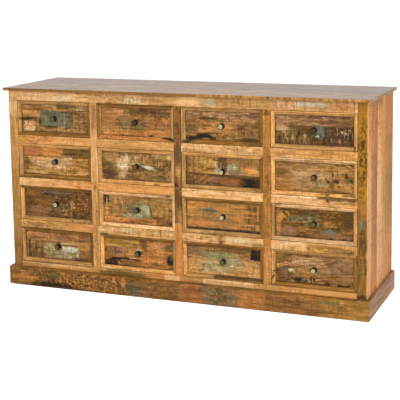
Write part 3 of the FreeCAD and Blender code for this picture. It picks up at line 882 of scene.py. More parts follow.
            line("umber", 762.5, 198, 762.5, 270, 2.4, 0.8), patch("umber", 768, 275, 20, 6, 0.7),
        ]),
    "r4c1": dict(
        planks=[("tan", "brown"), ("tan", "clay")], seams=(0.643,),
        mouldings=("bronze", "tan", "tan", "brown"), knob="olive",
        marks=[
            patch("clay", 80, 142, 80, 16, 0.5), line("pink", 44, 144, 110, 147, 2, 0.7),
            patch("mauve", 155, 137, 50, 16, 0.6), patch("brown", 225, 141, 44, 24, 0.6),
            streaks("umber", 42, 243, 130, 153, 0.4, 12, 2.2), block("plum", 45, 54, 78, 128, 0.85),
            streaks("umber", 54, 97, 78, 128, 0.75, 2.6, 30, 0.4),
            streaks("olive", 54, 97, 78, 128, 0.6, 2.6, 30, 0.35), patch("plum", 90, 90, 9, 24, 0.6),
            patch("sage", 116, 104, 44, 44, 0.7), flecks("cream", 118, 106, 44, 40, 0.45, 3, 9, 0.45),
            patch("sage", 165, 94, 80, 22, 0.7), streaks("chalk", 130, 205, 80, 104, 0.5, 2.4, 12, 0.3),
            block("chalk", 152, 203, 101, 115, 0.85), flecks("sea", 170, 105, 60, 16, 0.6, 6, 4),
            line("cream", 150, 123, 203, 124, 2.6, 0.85), line("umber", 146, 118, 182, 119, 2.4, 0.7),
            patch("gold", 222, 118, 36, 20, 0.6), block("brown", 205, 243, 84, 106, 0.5),
            patch("umber", 216, 82, 62, 10, 0.85), streaks("brown", 100, 243, 77, 128, 0.4, 3, 10, 0.3),
            patch("umber", 160, 148, 40, 6, 0.5),
        ],
        frame_marks=[
            line("umber", 36.5, 76, 36.5, 153, 2.4, 0.7), line("umber", 26, 80, 28, 110, 3, 0.5),
            line("plum", 245, 70, 245, 150, 3, 0.6), line("umber", 30, 159, 245, 157, 2, 0.6),
        ]),
    "r4c2": dict(
        planks=[("orange", "bronze"), ("tan", "bronze")], seams=(0.643,),
        mouldings=("bronze", "honey", "honey", "tan"), knob="moss",
        marks=[
            streaks("gold", 284, 392, 129, 153, 0.85, 14, 4, 0.55), patch("mustard", 310, 146, 60, 14, 0.5),
            streaks("honey", 286, 350, 130, 138, 0.7, 16, 3, 0.5), patch("brown", 400, 143, 26, 26, 0.85),
            block("orange", 408, 462, 92, 152, 0.5), flecks("pink", 436, 136, 50, 30, 0.8, 4, 3.4, 0.45),
            patch("moss", 468, 136, 30, 18, 0.6), patch("umber", 468, 137, 18, 8, 0.5),
            block("brown", 284, 312, 96, 127, 0.6), patch("mauve", 322, 115, 42, 22, 0.8),
            flecks("sand", 326, 118, 36, 16, 0.7), patch("honey", 362, 113, 44, 24, 0.5),
            patch("sand", 384, 124, 18, 6, 0.8), streaks("umber", 284, 345, 96, 128, 0.5, 3, 8),
            block("black", 283, 322, 77, 93, 0.8), flecks("black", 318, 92, 60, 16, 0.9, 6, 4, 0.5),
            line("black", 306, 96, 352, 98, 6, 1.0), line("black", 350, 97, 386, 95.5, 3.4, 0.95),
            patch("black", 290, 80, 20, 8, 0.9), patch("mauve", 352, 90, 44, 12, 0.7),
            flecks("umber", 350, 91, 36, 10, 0.8, 5, 3), block("brown", 352, 480, 77, 92, 0.4),
            patch("olive", 432, 89, 30, 9, 0.85), patch("black", 474, 103, 20, 28, 0.95),
            patch("slate", 477, 108, 9, 9, 0.5), patch("umber", 479, 81, 22, 8, 0.6),
            line("pink", 355, 102, 400, 100, 3, 0.6),
            streaks("umber", 300, 485, 77, 153, 0.3, 12, 2.4, 0.3),
        ],
        frame_marks=[
            patch("cream", 300, 68, 40, 5, 0.6), line("umber", 282.5, 76, 282.5, 152, 2, 0.7),
            line("umber", 284, 154, 487, 153, 2, 0.6), line("plum", 284, 76.5, 380, 76, 1.8, 0.7),
        ]),
    "r4c3": dict(
        planks=[("honey", "tan"), ("tan", "brown")], seams=(0.573,),
        mouldings=("bronze", "bronze", "honey", "bronze"), knob="moss",
        marks=[
            patch("mauve", 544, 137, 50, 26, 0.7), streaks("umber", 523, 700, 124, 153, 0.4, 12, 2.2),
            patch("brown", 660, 146, 80, 9, 0.6), block("black", 698, 726, 124, 153, 0.92),
            patch("plum", 718, 146, 16, 14, 0.4), line("umber", 620, 121, 697, 121.5, 1.8, 0.6),
            patch("sage", 605, 132, 84, 18, 0.6), patch("sage", 612, 104, 112, 46, 0.5),
            block("sage", 562, 668, 84, 138, 0.4), streaks("cream", 540, 700, 80, 120, 0.4, 12, 4, 0.4),
            patch("sea", 655, 118, 34, 12, 0.8), flecks("sea", 600, 128, 70, 20, 0.6, 6, 4, 0.4),
            patch("mauve", 568, 92, 10, 22, 0.5), line("umber", 554, 87, 566, 88, 2.6, 0.9),
            line("brown", 668, 92, 704, 88, 2, 0.7), patch("honey", 700, 104, 44, 26, 0.5),
            streaks("bronze", 527, 720, 78, 120, 0.35, 12, 2.4),
            streaks("bronze", 527, 720, 78, 120, 0.3, 3, 10, 0.3), patch("tan", 545, 104, 34, 30, 0.4),
        ],
        frame_marks=[
            # The first frame mark is painted shade: a dark band along the bottom moulding, at the foot of
            # the recess.
            line("umber", 596, 72, 727, 73, 5, 0.85), line("umber", 521.5, 77, 521.5, 152, 2, 0.6),
            line("umber", 520, 154.5, 727, 153.5, 2.4, 0.6), block("tan", 520, 596, 66, 76, 0.6),
            line("honey", 724, 80, 724, 118, 1.4, 0.6),
        ]),
    "r4c4": dict(
        planks=[("tan", "brown")], mouldings=("tan", "bronze", "honey", "bronze"), knob="stone", slant=8,
        marks=[
            # The first two marks are painted shade: a dark band along the panel's lower edge, in the recess
            # under the bottom moulding.
            line("umber", 763, 78, 905, 80, 3, 0.8), streaks("black", 890, 968, 76, 84, 1.0, 10, 4, 0.6),
            patch("brown", 785, 140, 44, 24, 0.6), line("honey", 764, 114, 802, 125, 2.4, 0.7),
            patch("umber", 782, 97, 38, 36, 0.65), patch("mauve", 788, 104, 22, 26, 0.6),
            patch("sand", 846, 136, 72, 20, 0.7, 10), line("peach", 826, 138, 884, 149, 2.2, 0.6),
            line("umber", 846, 146, 890, 149, 2, 0.6), patch("cream", 806, 110, 13, 6, 0.85),
            patch("chalk", 812, 106, 6, 4, 0.5), patch("tan", 848, 112, 70, 30, 0.5),
            patch("mauve", 932, 128, 70, 48, 0.6), patch("slate", 908, 112, 20, 14, 0.4),
            line("umber", 905, 107, 966, 112, 1.8, 0.7), patch("bronze", 930, 94, 76, 14, 0.5),
            flecks("rust", 902, 122, 10, 12, 0.7), patch("black", 822, 86, 20, 9, 0.9),
            patch("black", 846, 85, 7, 6, 0.85), line("black", 858, 83, 858, 96, 2.4, 0.9),
            line("black", 867, 83, 867, 92, 2, 0.85), streaks("black", 805, 872, 80, 95, 0.95, 3, 9, 0.42),
            patch("umber", 797, 84, 10, 6, 0.7), streaks("umber", 763, 968, 77, 153, 0.4, 12, 2.6),
            flecks("umber", 900, 135, 130, 40, 0.4, 5, 4, 0.3),
        ],
        frame_marks=[
            streaks("umber", 753, 763, 70, 118, 0.85, 5, 6, 0.45),
            line("umber", 765, 153, 966, 152, 1.6, 0.5),
        ]),
}


def drawer_front(name, column, row, look):
    x0, z0 = opening_left(column) + REVEAL, opening_bottom(row) + REVEAL
    width, height = OPENING_WIDTH - 2 * REVEAL, OPENING_HEIGHT - 2 * REVEAL
    seed = 1000 + 100 * row + 10 * column
    piece = Piece(name + "_front_boards")

    def places(points):
        return front_places(points, column, row)

    edges = (0, *look.get("seams", ()), 1)

    def shade_and_grime(points):
        """Painted shade and dirt on the panel beside the mouldings, in the corner of its recess:
        the share of light left rises over a few millimetres from their edge.
        """
        inward = inside_by(points[:, 0], points[:, 2], x0, x0 + width, z0, z0 + height) - MOULDING_WIDTH
        ragged = 1.5 * MM * smooth_noise(points[:, 0] / 0.02, points[:, 2] / 0.02, seed + 9)
        return 1 - 0.5 * ramp(inward + ragged, 4.5 * MM, 0.5 * MM)

    for number, (low, high) in enumerate(zip(edges, edges[1:])):
        light, dark = look["planks"][number]
        board(piece, (x0, PANEL_FACE, z0 + low * height), X, Z, Y, width, (high - low) * height,
              PANEL_BACK - PANEL_FACE, light, dark, seed + number, look["marks"], places, arris=0.5 * MM,
              slant=look.get("slant", 0), contrast=look.get("contrast", 1.2), shade_and_grime=shade_and_grime, step=PANEL_STEP)
    runs = [
        ((x0, PANEL_FACE, z0 + height), X, -Z, width),
        ((x0, PANEL_FACE, z0), X, Z, width),
        ((x0, PANEL_FACE, z0), Z, X, height),
        ((x0 + width, PANEL_FACE, z0), Z, -X, height),
    ]
    for number, (start, along, inward, length) in enumerate(runs):
        points, quads, fans, grain = carried(MOULDING, start, along, inward, -Y, length, FACE_STEP,
                                             start_slope=(1, 0), end_slope=(1, 0))
        # Each moulding's hue is its own colour with painted light in it: the top and right ones are lighter
        # against the shade on their slopes.
        hue = look["mouldings"][number]
        run, rise = grain[:, 0], grain[:, 1]
        tone = figured(run * THOUSANDTHS, rise * THOUSANDTHS, hue, hue, seed + 20 + number, 0.6)
        uneven = 1 + 0.16 * smooth_noise(run / 0.025, rise / 0.006, seed + 40 + number)
        # Painted shade and dirt in the corner where the moulding's inner foot meets the panel: its last 3
        # mm are darkened by up to 45 per cent.
        shaded_grimy_foot = 1 - 0.45 * ramp(rise, 13.5 * MM, 16.5 * MM)
        tone = tone * uneven[:, None] * shaded_grimy_foot[:, None]
        paint = np.zeros((len(points), 4))
        # The frame marks include dark lines along the mouldings' edges: painted shade of the gaps and
        # corners beside them, along with dirt.
        tone, paint = laid(tone, paint, *front_places(points), look["frame_marks"], seed + 60)
        draw = np.random.default_rng(seed + 50 + number).uniform(0, 40, 3)
        piece.add((points, quads, fans, grain + draw), tone, paint)
    piece.finish(name + "_front", name, "drawer_fronts", front_wood)


BOX_HALF_WIDTH = 0.192
BOX_HEIGHT = 0.150
BOX_BOARD = 0.012
BOX_FLOOR = 0.006
BOX_FLOOR_RAISED = 0.008
BOX_LIFT = 0.0003
GAP_BEHIND_BOX = 0.012


def drawer_box(name, column, row):
    """Two sides, a back and a bottom behind the front."""
    seed = 3000 + 100 * row + 10 * column
    middle = opening_left(column) + OPENING_WIDTH / 2
    z0 = opening_bottom(row) + BOX_LIFT
    rear = BACK_FRAME_FRONT - GAP_BEHIND_BOX
    length = rear - PANEL_BACK
    inner_left, inner_width = middle - BOX_HALF_WIDTH + BOX_BOARD, 2 * (BOX_HALF_WIDTH - BOX_BOARD)
    piece = Piece(name + "_box_boards")
    coarse = dict(step=12 * MM, back_step=12 * MM, uneven=0, arris=0.8 * MM)
    for number, side in enumerate((-1, 1)):
        board(piece, (middle + side * BOX_HALF_WIDTH, PANEL_BACK, z0), Y, Z, -side * X, length,
              BOX_HEIGHT, BOX_BOARD, "tan", "honey", seed + number, **coarse)
    board(piece, (inner_left, rear, z0), X, Z, -Y, inner_width, BOX_HEIGHT, BOX_BOARD,
          "tan", "bronze", seed + 2, **coarse)
    board(piece, (inner_left, PANEL_BACK, z0 + BOX_FLOOR_RAISED + BOX_FLOOR), X, Y, -Z, inner_width,
          length - BOX_BOARD, BOX_FLOOR, "honey", "tan", seed + 3, **coarse)
    piece.finish(name + "_box", name, "drawer_boxes", box_wood)


# Knob section, and that of its screw: (distance from the axis, distance out from the panel)
KNOB = np.array([
    (0.6, 0.2), (7, 0), (12.6, 0), (13.5, 0.4), (13.5, 1.2), (12.8, 1.8), (10.4, 2.3), (8.6, 2.9),
    (8.0, 3.8), (7.7, 6.0), (7.8, 8.8), (8.3, 10.4), (9.6, 12.2), (11.2, 14.6), (12.1, 17.0),
    (12.5, 19.2), (12.4, 20.2), (11.8, 21.1), (11.0, 21.5), (10.4, 21.5), (9.9, 21.9), (8.2, 22.8),
    (5.6, 23.5), (2.8, 23.9), (0.6, 24.0),
]) * MM
SCREW = np.array([
    (0.4, -16.5), (3.6, -16.4), (4.5, -15.4), (4.5, -14.2), (2.0, -14.0), (2.0, -6), (2.0, 0.3),
    (0.4, 0.4),
]) * MM
KNOB_POINTS_AROUND = 56
SCREW_POINTS_AROUND = 16
KNOB_DENTS = 0.012


def knob(name, column, row, face):
    seed = 5000 + 100 * row + 10 * column
    centre = (opening_left(column) + OPENING_WIDTH / 2, PANEL_FACE,
              opening_bottom(row) + OPENING_HEIGHT / 2)
    piece = Piece(name + "_turned_knob")
    shell = turned(KNOB, centre, KNOB_POINTS_AROUND, KNOB_DENTS, seed)
    out = centre[1] - shell[0][:, 1]
    radius = np.hypot(shell[0][:, 0] - centre[0], shell[0][:, 2] - centre[2])
    # The knob's end face gets its own hue, painted for worn brass and for the light reflected from its
    # dome; the rest is near black.
    worn_and_lit_face = (ramp(out, 21.0 * MM, 21.6 * MM) * ramp(radius, 11.6 * MM, 8.0 * MM))[:, None]
    tone = HUES["black"] * 1.2 * (1 - worn_and_lit_face) + HUES[face] * worn_and_lit_face
    piece.add(shell, tone)
    shell = turned(SCREW, centre, SCREW_POINTS_AROUND)
    piece.add(shell, np.tile(HUES["slate"], (len(shell[0]), 1)))
    piece.finish(name + "_knob", name, "knob_metal", antique_metal)


for column in range(COLUMNS):
    for row in range(ROWS):
        label = f"r{row + 1}c{column + 1}"
        drawer = "drawer_" + label
        drawer_front(drawer, column, row, DRAWERS[label])
        knob(drawer, column, row, DRAWERS[label]["knob"])
        drawer_box(drawer, column, row)

# Stiles from the left: light and dark hue, and marks
STILES = [
    ("honey", "tan", [
        block("peach", -5, 30, 470, 560, 0.5), streaks("bronze", -5, 30, 50, 470, 0.45, 2, 40, 0.3),
        block("tan", -60, 90, 120, 430, 0.5, 30), block("bronze", -60, 90, 40, 330, 0.5, 30),
        block("brown", -60, 90, 20, 130, 0.5, 30), line("pink", 1, 380, 1, 545, 2.5, 0.5),
    ]),
    ("honey", "tan", [
        patch("mauve", 258, 476, 22, 66, 0.6), flecks("cream", 258, 452, 18, 40, 0.7, 3, 6),
        block("peach", 247, 270, 300, 440, 0.35), streaks("bronze", 246, 272, 60, 330, 0.45, 2, 40),
        patch("clay", 258, 58, 22, 18, 0.4),
    ]),
    ("bronze", "brown", [
        block("brown", 488, 514, 420, 512, 0.35), streaks("umber", 488, 514, 190, 512, 0.6, 4, 16),
        patch("slate", 500, 385, 16, 30, 0.6), patch("tan", 501, 340, 16, 26, 0.7),
        patch("umber", 500, 388, 18, 50, 0.6), block("orange", 488, 514, 60, 205, 0.75),
        flecks("black", 500, 305, 22, 70, 0.8, 4, 8), patch("tan", 505, 218, 12, 40, 0.5),
        patch("umber", 500, 270, 20, 40, 0.6),
    ]),
    ("orange", "bronze", [
        patch("umber", 742, 504, 20, 18, 0.7), flecks("umber", 742, 336, 18, 44, 0.85, 4, 7),
        block("bronze", 730, 755, 300, 480, 0.35), patch("clay", 742, 380, 16, 40, 0.4),
        streaks("brown", 730, 755, 60, 500, 0.4, 2, 40, 0.25), block("honey", 730, 755, 60, 150, 0.35),
        flecks("rust", 744, 180, 14, 60, 0.6, 4, 6),
    ]),
    ("bronze", "olive", [
        block("rust", 970, 1005, 488, 550, 0.35), block("mustard", 900, 1080, 280, 520, 0.8, 25),
        streaks("mustard", 970, 1005, 300, 500, 0.7, 4, 12, 0.5),
        flecks("umber", 987, 400, 34, 240, 0.8, 2, 4.5, 0.4),
        streaks("olive", 970, 1005, 290, 520, 0.5, 4, 9, 0.35), patch("umber", 988, 436, 9, 26, 0.8),
        patch("slate", 987, 238, 20, 24, 0.6), streaks("umber", 970, 1005, 60, 300, 0.7, 3, 24),
        block("umber", 970, 1005, 48, 62, 0.8), patch("clay", 986, 275, 20, 30, 0.5),
        # Painted highlight: a light line down the outer corner and side face of the right stile, where
        # light catches the corner.
        line("honey", 1000, 54, 1000, 545, 2.4, 0.9),
    ]),
]
frame_depth = FRAME_BACK - FRONT
stiles = Piece("stile_boards")
for number, (light, dark, marks) in enumerate(STILES):
    if number in (0, COLUMNS):
        x = -BODY_HALF if number == 0 else BODY_HALF - OUTER_STILE
        z, width, length = PLINTH_HEIGHT, OUTER_STILE, TOP_UNDERSIDE - PLINTH_HEIGHT
    else:
        x = opening_left(number) - MID_STILE
        z, width, length = LOWEST_OPENING, MID_STILE, TOP_RAIL_UNDERSIDE - LOWEST_OPENING
    board(stiles, (x, FRONT, z), Z, X, Y, length, width, frame_depth, light, dark, 200 + number, marks)
stiles.finish("face_frame_stiles", "carcass", "face_frame", frame_wood)

# Short rails row by row from the top: light and dark hue of each, and marks
RAILS = [[("honey", "orange"), ("honey", "tan"), ("peach", "tan"), ("honey", "tan")],
         [("peach", "orange"), ("honey", "orange"), ("peach", "honey"), ("honey", "tan")],
         [("honey", "tan"), ("peach", "tan"), ("peach", "tan"), ("honey", "tan")]]
RAIL_MARKS = {
    "r1c1": [
        block("gold", 26, 62, 394, 418, 0.6), streaks("peach", 70, 245, 396, 416, 0.5),
        line("bronze", 40, 416, 66, 400, 2, 0.5),
    ],
    "r1c2": [streaks("tan", 280, 480, 396, 416, 0.6), line("bronze", 300, 398, 480, 396, 1.8, 0.6)],
    "r1c3": [
        streaks("tan", 515, 730, 396, 416, 0.5, 4, 14), line("bronze", 515, 397, 640, 399, 1.8, 0.6),
    ],
    "r1c4": [
        block("orange", 850, 970, 394, 418, 0.4), flecks("gold", 955, 406, 26, 18, 0.9, 4, 5, 0.5),
        streaks("bronze", 760, 970, 396, 416, 0.4, 14, 2), patch("clay", 860, 404, 14, 10, 0.4),
    ],
    "r2c1": [block("orange", 140, 245, 279, 298, 0.4), streaks("peach", 30, 150, 280, 298, 0.6)],
    "r2c2": [
        streaks("peach", 275, 490, 280, 298, 0.5), streaks("orange", 280, 480, 280, 298, 0.4, 4, 14),
    ],
    "r2c3": [streaks("cream", 515, 730, 280, 298, 0.5), line("orange", 560, 285, 700, 287, 3, 0.5)],
    "r2c4": [
        block("peach", 755, 880, 278, 300, 0.5), streaks("peach", 760, 960, 278, 300, 0.4),
        patch("umber", 925, 297, 110, 12, 0.75), streaks("umber", 880, 972, 284, 300, 0.8, 12, 2.6, 0.4),
        line("cream", 765, 297, 870, 298, 3, 0.6),
    ],
    "r3c1": [
        flecks("mauve", 60, 172, 80, 16, 0.7, 6, 3, 0.5), flecks("gold", 128, 170, 46, 16, 0.85, 6, 4, 0.5),
        block("orange", 168, 246, 160, 182, 0.5), line("umber", 26, 161, 116, 161, 2.4, 0.75),
        streaks("bronze", 30, 170, 161, 181, 0.5, 10, 3),
    ],
    "r3c2": [
        streaks("tan", 275, 490, 161, 181, 0.6, 20, 3, 0.5), line("umber", 448, 168, 448, 181, 2.2, 0.85),
        line("black", 270, 161.5, 292, 162, 2.4, 0.8), streaks("bronze", 275, 490, 161, 181, 0.35, 3, 12),
        patch("cream", 355, 174, 50, 10, 0.4),
    ],
    "r3c3": [
        patch("rust", 617, 172, 17, 24, 0.8), patch("brown", 617, 163, 10, 10, 0.8),
        streaks("bronze", 515, 730, 161, 181, 0.35, 6, 4), patch("cream", 665, 172, 90, 12, 0.5),
    ],
    "r3c4": [
        block("peach", 755, 845, 160, 183, 0.6), line("cream", 775, 180, 845, 176, 3, 0.6),
        streaks("bronze", 848, 970, 160, 178, 0.8, 16, 3, 0.5), line("umber", 880, 163, 970, 164, 2, 0.6),
    ],
}
rails = Piece("rail_boards")
for column in range(COLUMNS):
    for row in range(ROWS - 1):
        light, dark = RAILS[row][column]
        x, z = opening_left(column), opening_bottom(row) - MID_RAIL
        board(rails, (x, FRONT, z), X, Z, Y, OPENING_WIDTH, MID_RAIL, frame_depth, light, dark,
              300 + 10 * row + column, RAIL_MARKS[f"r{row + 1}c{column + 1}"])
TOP_RAIL_MARKS = [
    streaks("bronze", 26, 975, 513, 550, 0.3, 14, 3), block("peach", 28, 205, 513, 542, 0.5),
    patch("cream", 160, 522, 76, 14, 0.6), streaks("gold", 200, 290, 530, 543, 0.85, 12, 3, 0.5),
    streaks("bronze", 205, 285, 530, 542, 0.6, 9, 2.4, 0.35),
    flecks("gold", 318, 522, 30, 22, 0.9, 5, 5, 0.5), flecks("rust", 300, 536, 50, 12, 0.7),
    patch("sage", 372, 522, 66, 14, 0.45), flecks("cream", 372, 524, 70, 22, 0.7, 6, 5, 0.5),
    patch("pink", 408, 524, 30, 12, 0.5), patch("peach", 372, 537, 46, 9, 0.6),
    block("tan", 425, 505, 513, 541, 0.45), block("peach", 500, 566, 513, 541, 0.55),
    patch("sea", 595, 525, 26, 17, 0.85), patch("sage", 572, 521, 24, 14, 0.5),
    patch("sage", 624, 524, 18, 12, 0.4), patch("umber", 665, 524, 7, 5, 0.9),
    block("tan", 606, 762, 513, 542, 0.8), block("tan", 818, 966, 513, 542, 0.5),
    streaks("brown", 606, 770, 514, 542, 0.4, 2.6, 14, 0.3), line("umber", 700, 515, 700, 541, 1.8, 0.75),
    block("pink", 758, 818, 513, 542, 0.5), streaks("mauve", 758, 966, 515, 542, 0.5, 2.4, 18, 0.35),
    patch("chalk", 858, 529, 84, 14, 0.6), flecks("slate", 858, 526, 84, 14, 0.4),
    block("orange", 902, 966, 513, 532, 0.35), streaks("pink", 902, 966, 526, 542, 0.5, 3, 10),
    line("umber", 966, 514, 966, 543, 1.6, 0.6), line("umber", 268, 513.5, 490, 514, 1.6, 0.4),
]
BOTTOM_RAIL_MARKS = [
    streaks("tan", 26, 975, 50, 66, 0.5), patch("peach", 150, 60, 170, 6, 0.6),
    patch("olive", 335, 56, 150, 12, 0.75), line("umber", 275, 52, 400, 52, 2, 0.5),
    block("orange", 400, 460, 50, 66, 0.5), block("peach", 460, 500, 50, 66, 0.7),
    block("tan", 500, 568, 50, 66, 0.5), block("cream", 568, 706, 48, 67, 0.55),
    block("peach", 568, 706, 48, 67, 0.5), streaks("orange", 570, 970, 50, 66, 0.4, 3, 14, 0.25),
    block("tan", 706, 760, 50, 66, 0.4), block("honey", 800, 970, 48, 67, 0.6),
    line("brown", 28, 64, 240, 65, 1.8, 0.5),
]
inner_length = 2 * (BODY_HALF - OUTER_STILE)
board(rails, (-BODY_HALF + OUTER_STILE, FRONT, TOP_RAIL_UNDERSIDE), X, Z, Y, inner_length,
      TOP_UNDERSIDE - TOP_RAIL_UNDERSIDE, frame_depth, "peach", "tan", 340, TOP_RAIL_MARKS)
board(rails, (-BODY_HALF + OUTER_STILE, FRONT, PLINTH_HEIGHT), X, Z, Y, inner_length,
      LOWEST_OPENING - PLINTH_HEIGHT, frame_depth, "honey", "tan", 341, BOTTOM_RAIL_MARKS)
rails.finish("face_frame_rails", "carcass", "face_frame", frame_wood)

# Front, middle and rear plank of either side: light and dark hue, and marks
SIDE_HUES = [("orange", "clay"), ("honey", "orange"), ("tan", "orange")]
SIDE_MARKS = [
    [
        streaks("bronze", 12, 97, 50, 548, 0.5, 9, 90, 0.35), patch("rust", 58, 380, 50, 460, 0.5),
        patch("bronze", 84, 330, 34, 560, 0.5), patch("peach", 20, 220, 36, 460, 0.6),
        streaks("brown", 72, 100, 250, 540, 0.6, 4, 90, 0.4),
        flecks("slate", 88, 474, 14, 46, 0.85, 4, 5, 0.45), patch("slate", 90, 423, 8, 12, 0.8),
        patch("slate", 90, 207, 8, 10, 0.8), block("orange", 8, 97, 406, 548, 0.3),
        line("umber", 97, 50, 97, 545, 1.6, 0.5), line("umber", 98, 290, 98, 545, 3.2, 0.7),
    ],
    [
        streaks("clay", 110, 183, 50, 548, 0.5, 12, 90, 0.34), patch("peach", 124, 220, 56, 460, 0.7),
        patch("pink", 142, 130, 90, 240, 0.5), streaks("bronze", 140, 183, 200, 548, 0.5, 8, 90, 0.4),
        line("cream", 104, 356, 124, 261, 1.8, 0.6), line("cream", 148, 358, 124, 261, 1.8, 0.6),
        patch("umber", 130, 527, 50, 40, 0.4), line("umber", 183, 50, 183, 545, 2, 0.75),
    ],
    [
        streaks("rust", 183, 280, 50, 548, 0.5, 12, 90, 0.34),
        flecks("moss", 200, 464, 22, 50, 0.9, 5, 6, 0.45), flecks("moss", 205, 420, 16, 30, 0.8, 4, 6),
        block("bronze", 183, 280, 180, 548, 0.5, 20), block("orange", 183, 280, 426, 548, 0.4),
        patch("bronze", 250, 305, 40, 200, 0.4),
    ],
]
for label, side in (("left", -1), ("right", 1)):
    planks = Piece("side_boards_" + label)
    plank_width = (BACK - FRAME_BACK) / len(SIDE_HUES)
    for number, (light, dark) in enumerate(SIDE_HUES):
        board(planks, (side * BODY_HALF, FRAME_BACK + number * plank_width, PLINTH_HEIGHT), Z, Y, -side * X,
              TOP_UNDERSIDE - PLINTH_HEIGHT, plank_width, SIDE_THICKNESS, light, dark,
              400 + number + 10 * (side > 0), SIDE_MARKS[number], side_places, step=SIDE_STEP, contrast=0.8)
    planks.finish("side_planks_" + label, "carcass", "side_planks", side_wood)

# The top's front edge lies at -13 and shows the bare, darker wood.
TOP_MARKS = [
    streaks("mauve", -20, 1020, -10, 275, 0.5, 60, 3), streaks("black", -20, 1020, -10, 275, 0.35, 40, 2),
    streaks("gold", -20, 1020, -10, 110, 0.45, 70, 5, 0.45), block("olive", -20, 230, -10, 90, 0.5, 40),
    flecks("umber", 600, 48, 120, 22, 0.8, 14, 3, 0.35), streaks("tan", 120, 620, 60, 275, 0.35, 80, 12),
    line("umber", 185, -12, 185, 275, 2, 0.5), block("bronze", -20, 1020, -16, -12, 1, 0.5, paint=True),
    streaks("umber", -20, 1020, -16, -12, 0.5, 12, 3),
    block("honey", 560, 1008, -16, -12.5, 0.35, 0.5, paint=True),
    block("bronze", 1009, 1020, -12, 275, 1, 0.5, paint=True),
    block("bronze", -20, -9, -12, 275, 1, 0.5, paint=True), block("black", 1005, 1020, 262, 280, 0.7, 2),
]
TOP_PLANKS = 4
top = Piece("top_boards")
plank_width = (BACK - TOP_FRONT) / TOP_PLANKS
for number in range(TOP_PLANKS):
    board(top, (-TOP_HALF, TOP_FRONT + number * plank_width, TOP_UNDERSIDE + TOP_THICKNESS), X, Y, -Z,
          2 * TOP_HALF, plank_width, TOP_THICKNESS, "bronze", "umber", 500 + number, TOP_MARKS, top_places,
          arris=(2.0 if number == 0 else 1.0) * MM, step=TOP_STEP)
top.finish("top_planks", "carcass", "lacquered_top", top_wood)

PLINTH_MARKS = [
    streaks("honey", -15, 110, 2, 44, 0.45, 16, 3), streaks("umber", -15, 130, -8, 46, 0.5, 12, 3, 0.3),
    line("umber", 20, 40, 112, 37, 3, 0.6), patch("orange", 25, 18, 76, 22, 0.4),
    streaks("umber", 60, 345, -8, 46, 0.8, 6, 4.2, 0.42),
    streaks("gold", 130, 345, -4, 44, 0.55, 5, 4.4, 0.36),
    streaks("orange", 150, 345, -4, 44, 0.5, 5, 4, 0.34),
    streaks("black", 110, 345, -8, 40, 0.6, 5, 4, 0.25), patch("olive", 124, 33, 34, 16, 0.8),
    patch("black", 112, 2, 104, 18, 0.9), flecks("black", 150, 6, 130, 20, 0.8, 5, 4, 0.5),
    patch("umber", 160, -4, 230, 8, 0.8), patch("slate", 364, 14, 44, 40, 0.6),
    flecks("moss", 366, 14, 44, 36, 0.6, 5, 6, 0.4), patch("pink", 334, 24, 12, 14, 0.6),
    patch("umber", 362, 37, 14, 6, 0.85), patch("mauve", 410, 14, 50, 40, 0.4),
    streaks("umber", 335, 560, -8, 46, 0.4, 8, 3), flecks("plum", 470, 14, 70, 40, 0.5, 6, 5),
    block("clay", 498, 562, -8, 44, 0.4), patch("umber", 556, 34, 7, 10, 0.85),
    block("slate", 564, 663, -8, 42, 0.6), block("olive", 590, 663, -8, 42, 0.45),
    flecks("umber", 612, 18, 60, 44, 0.7, 5, 5, 0.5), streaks("sage", 564, 663, -8, 42, 0.4, 4, 5, 0.3),
    block("orange", 663, 737, -8, 44, 0.45), streaks("clay", 500, 870, -8, 44, 0.4, 12, 3),
    streaks("brown", 640, 1000, -8, 44, 0.35, 12, 3), patch("moss", 908, 35, 60, 9, 0.8),
    patch("pink", 937, 36, 12, 8, 0.8), block("gold", 880, 1010, -8, 46, 0.3),
    patch("olive", 886, 10, 40, 16, 0.6), patch("umber", 822, 36, 12, 10, 0.5),
    # Painted shade: a dark line along the plinth's bottom edge, where it meets the floor.
    line("umber", -12, -6, 1010, -6, 3, 0.4),
]
mitre = (0, 1)
plinth = Piece("plinth_board_set")
board(plinth, (-PLINTH_HALF, PLINTH_FRONT, 0), X, Z, Y, 2 * PLINTH_HALF, PLINTH_HEIGHT, PLINTH_BOARD,
      "bronze", "brown", 600, PLINTH_MARKS, plinth_places, arris=1.5 * MM, start_slope=mitre,
      end_slope=mitre, contrast=1.2)
for side in (-1, 1):
    board(plinth, (side * PLINTH_HALF, PLINTH_FRONT, 0), Y, Z, -side * X, BACK - PLINTH_FRONT,
          PLINTH_HEIGHT, PLINTH_BOARD, "mauve", "bronze", 601 + (side > 0), arris=1.5 * MM,
          start_slope=mitre)
board(plinth, (-PLINTH_HALF + PLINTH_BOARD, BACK, 0), X, Z, -Y, 2 * (PLINTH_HALF - PLINTH_BOARD),
      PLINTH_HEIGHT, PLINTH_BOARD, "bronze", "brown", 604, step=REAR_STEP)
plinth.finish("plinth_boards", "carcass", "plinth", plinth_wood)

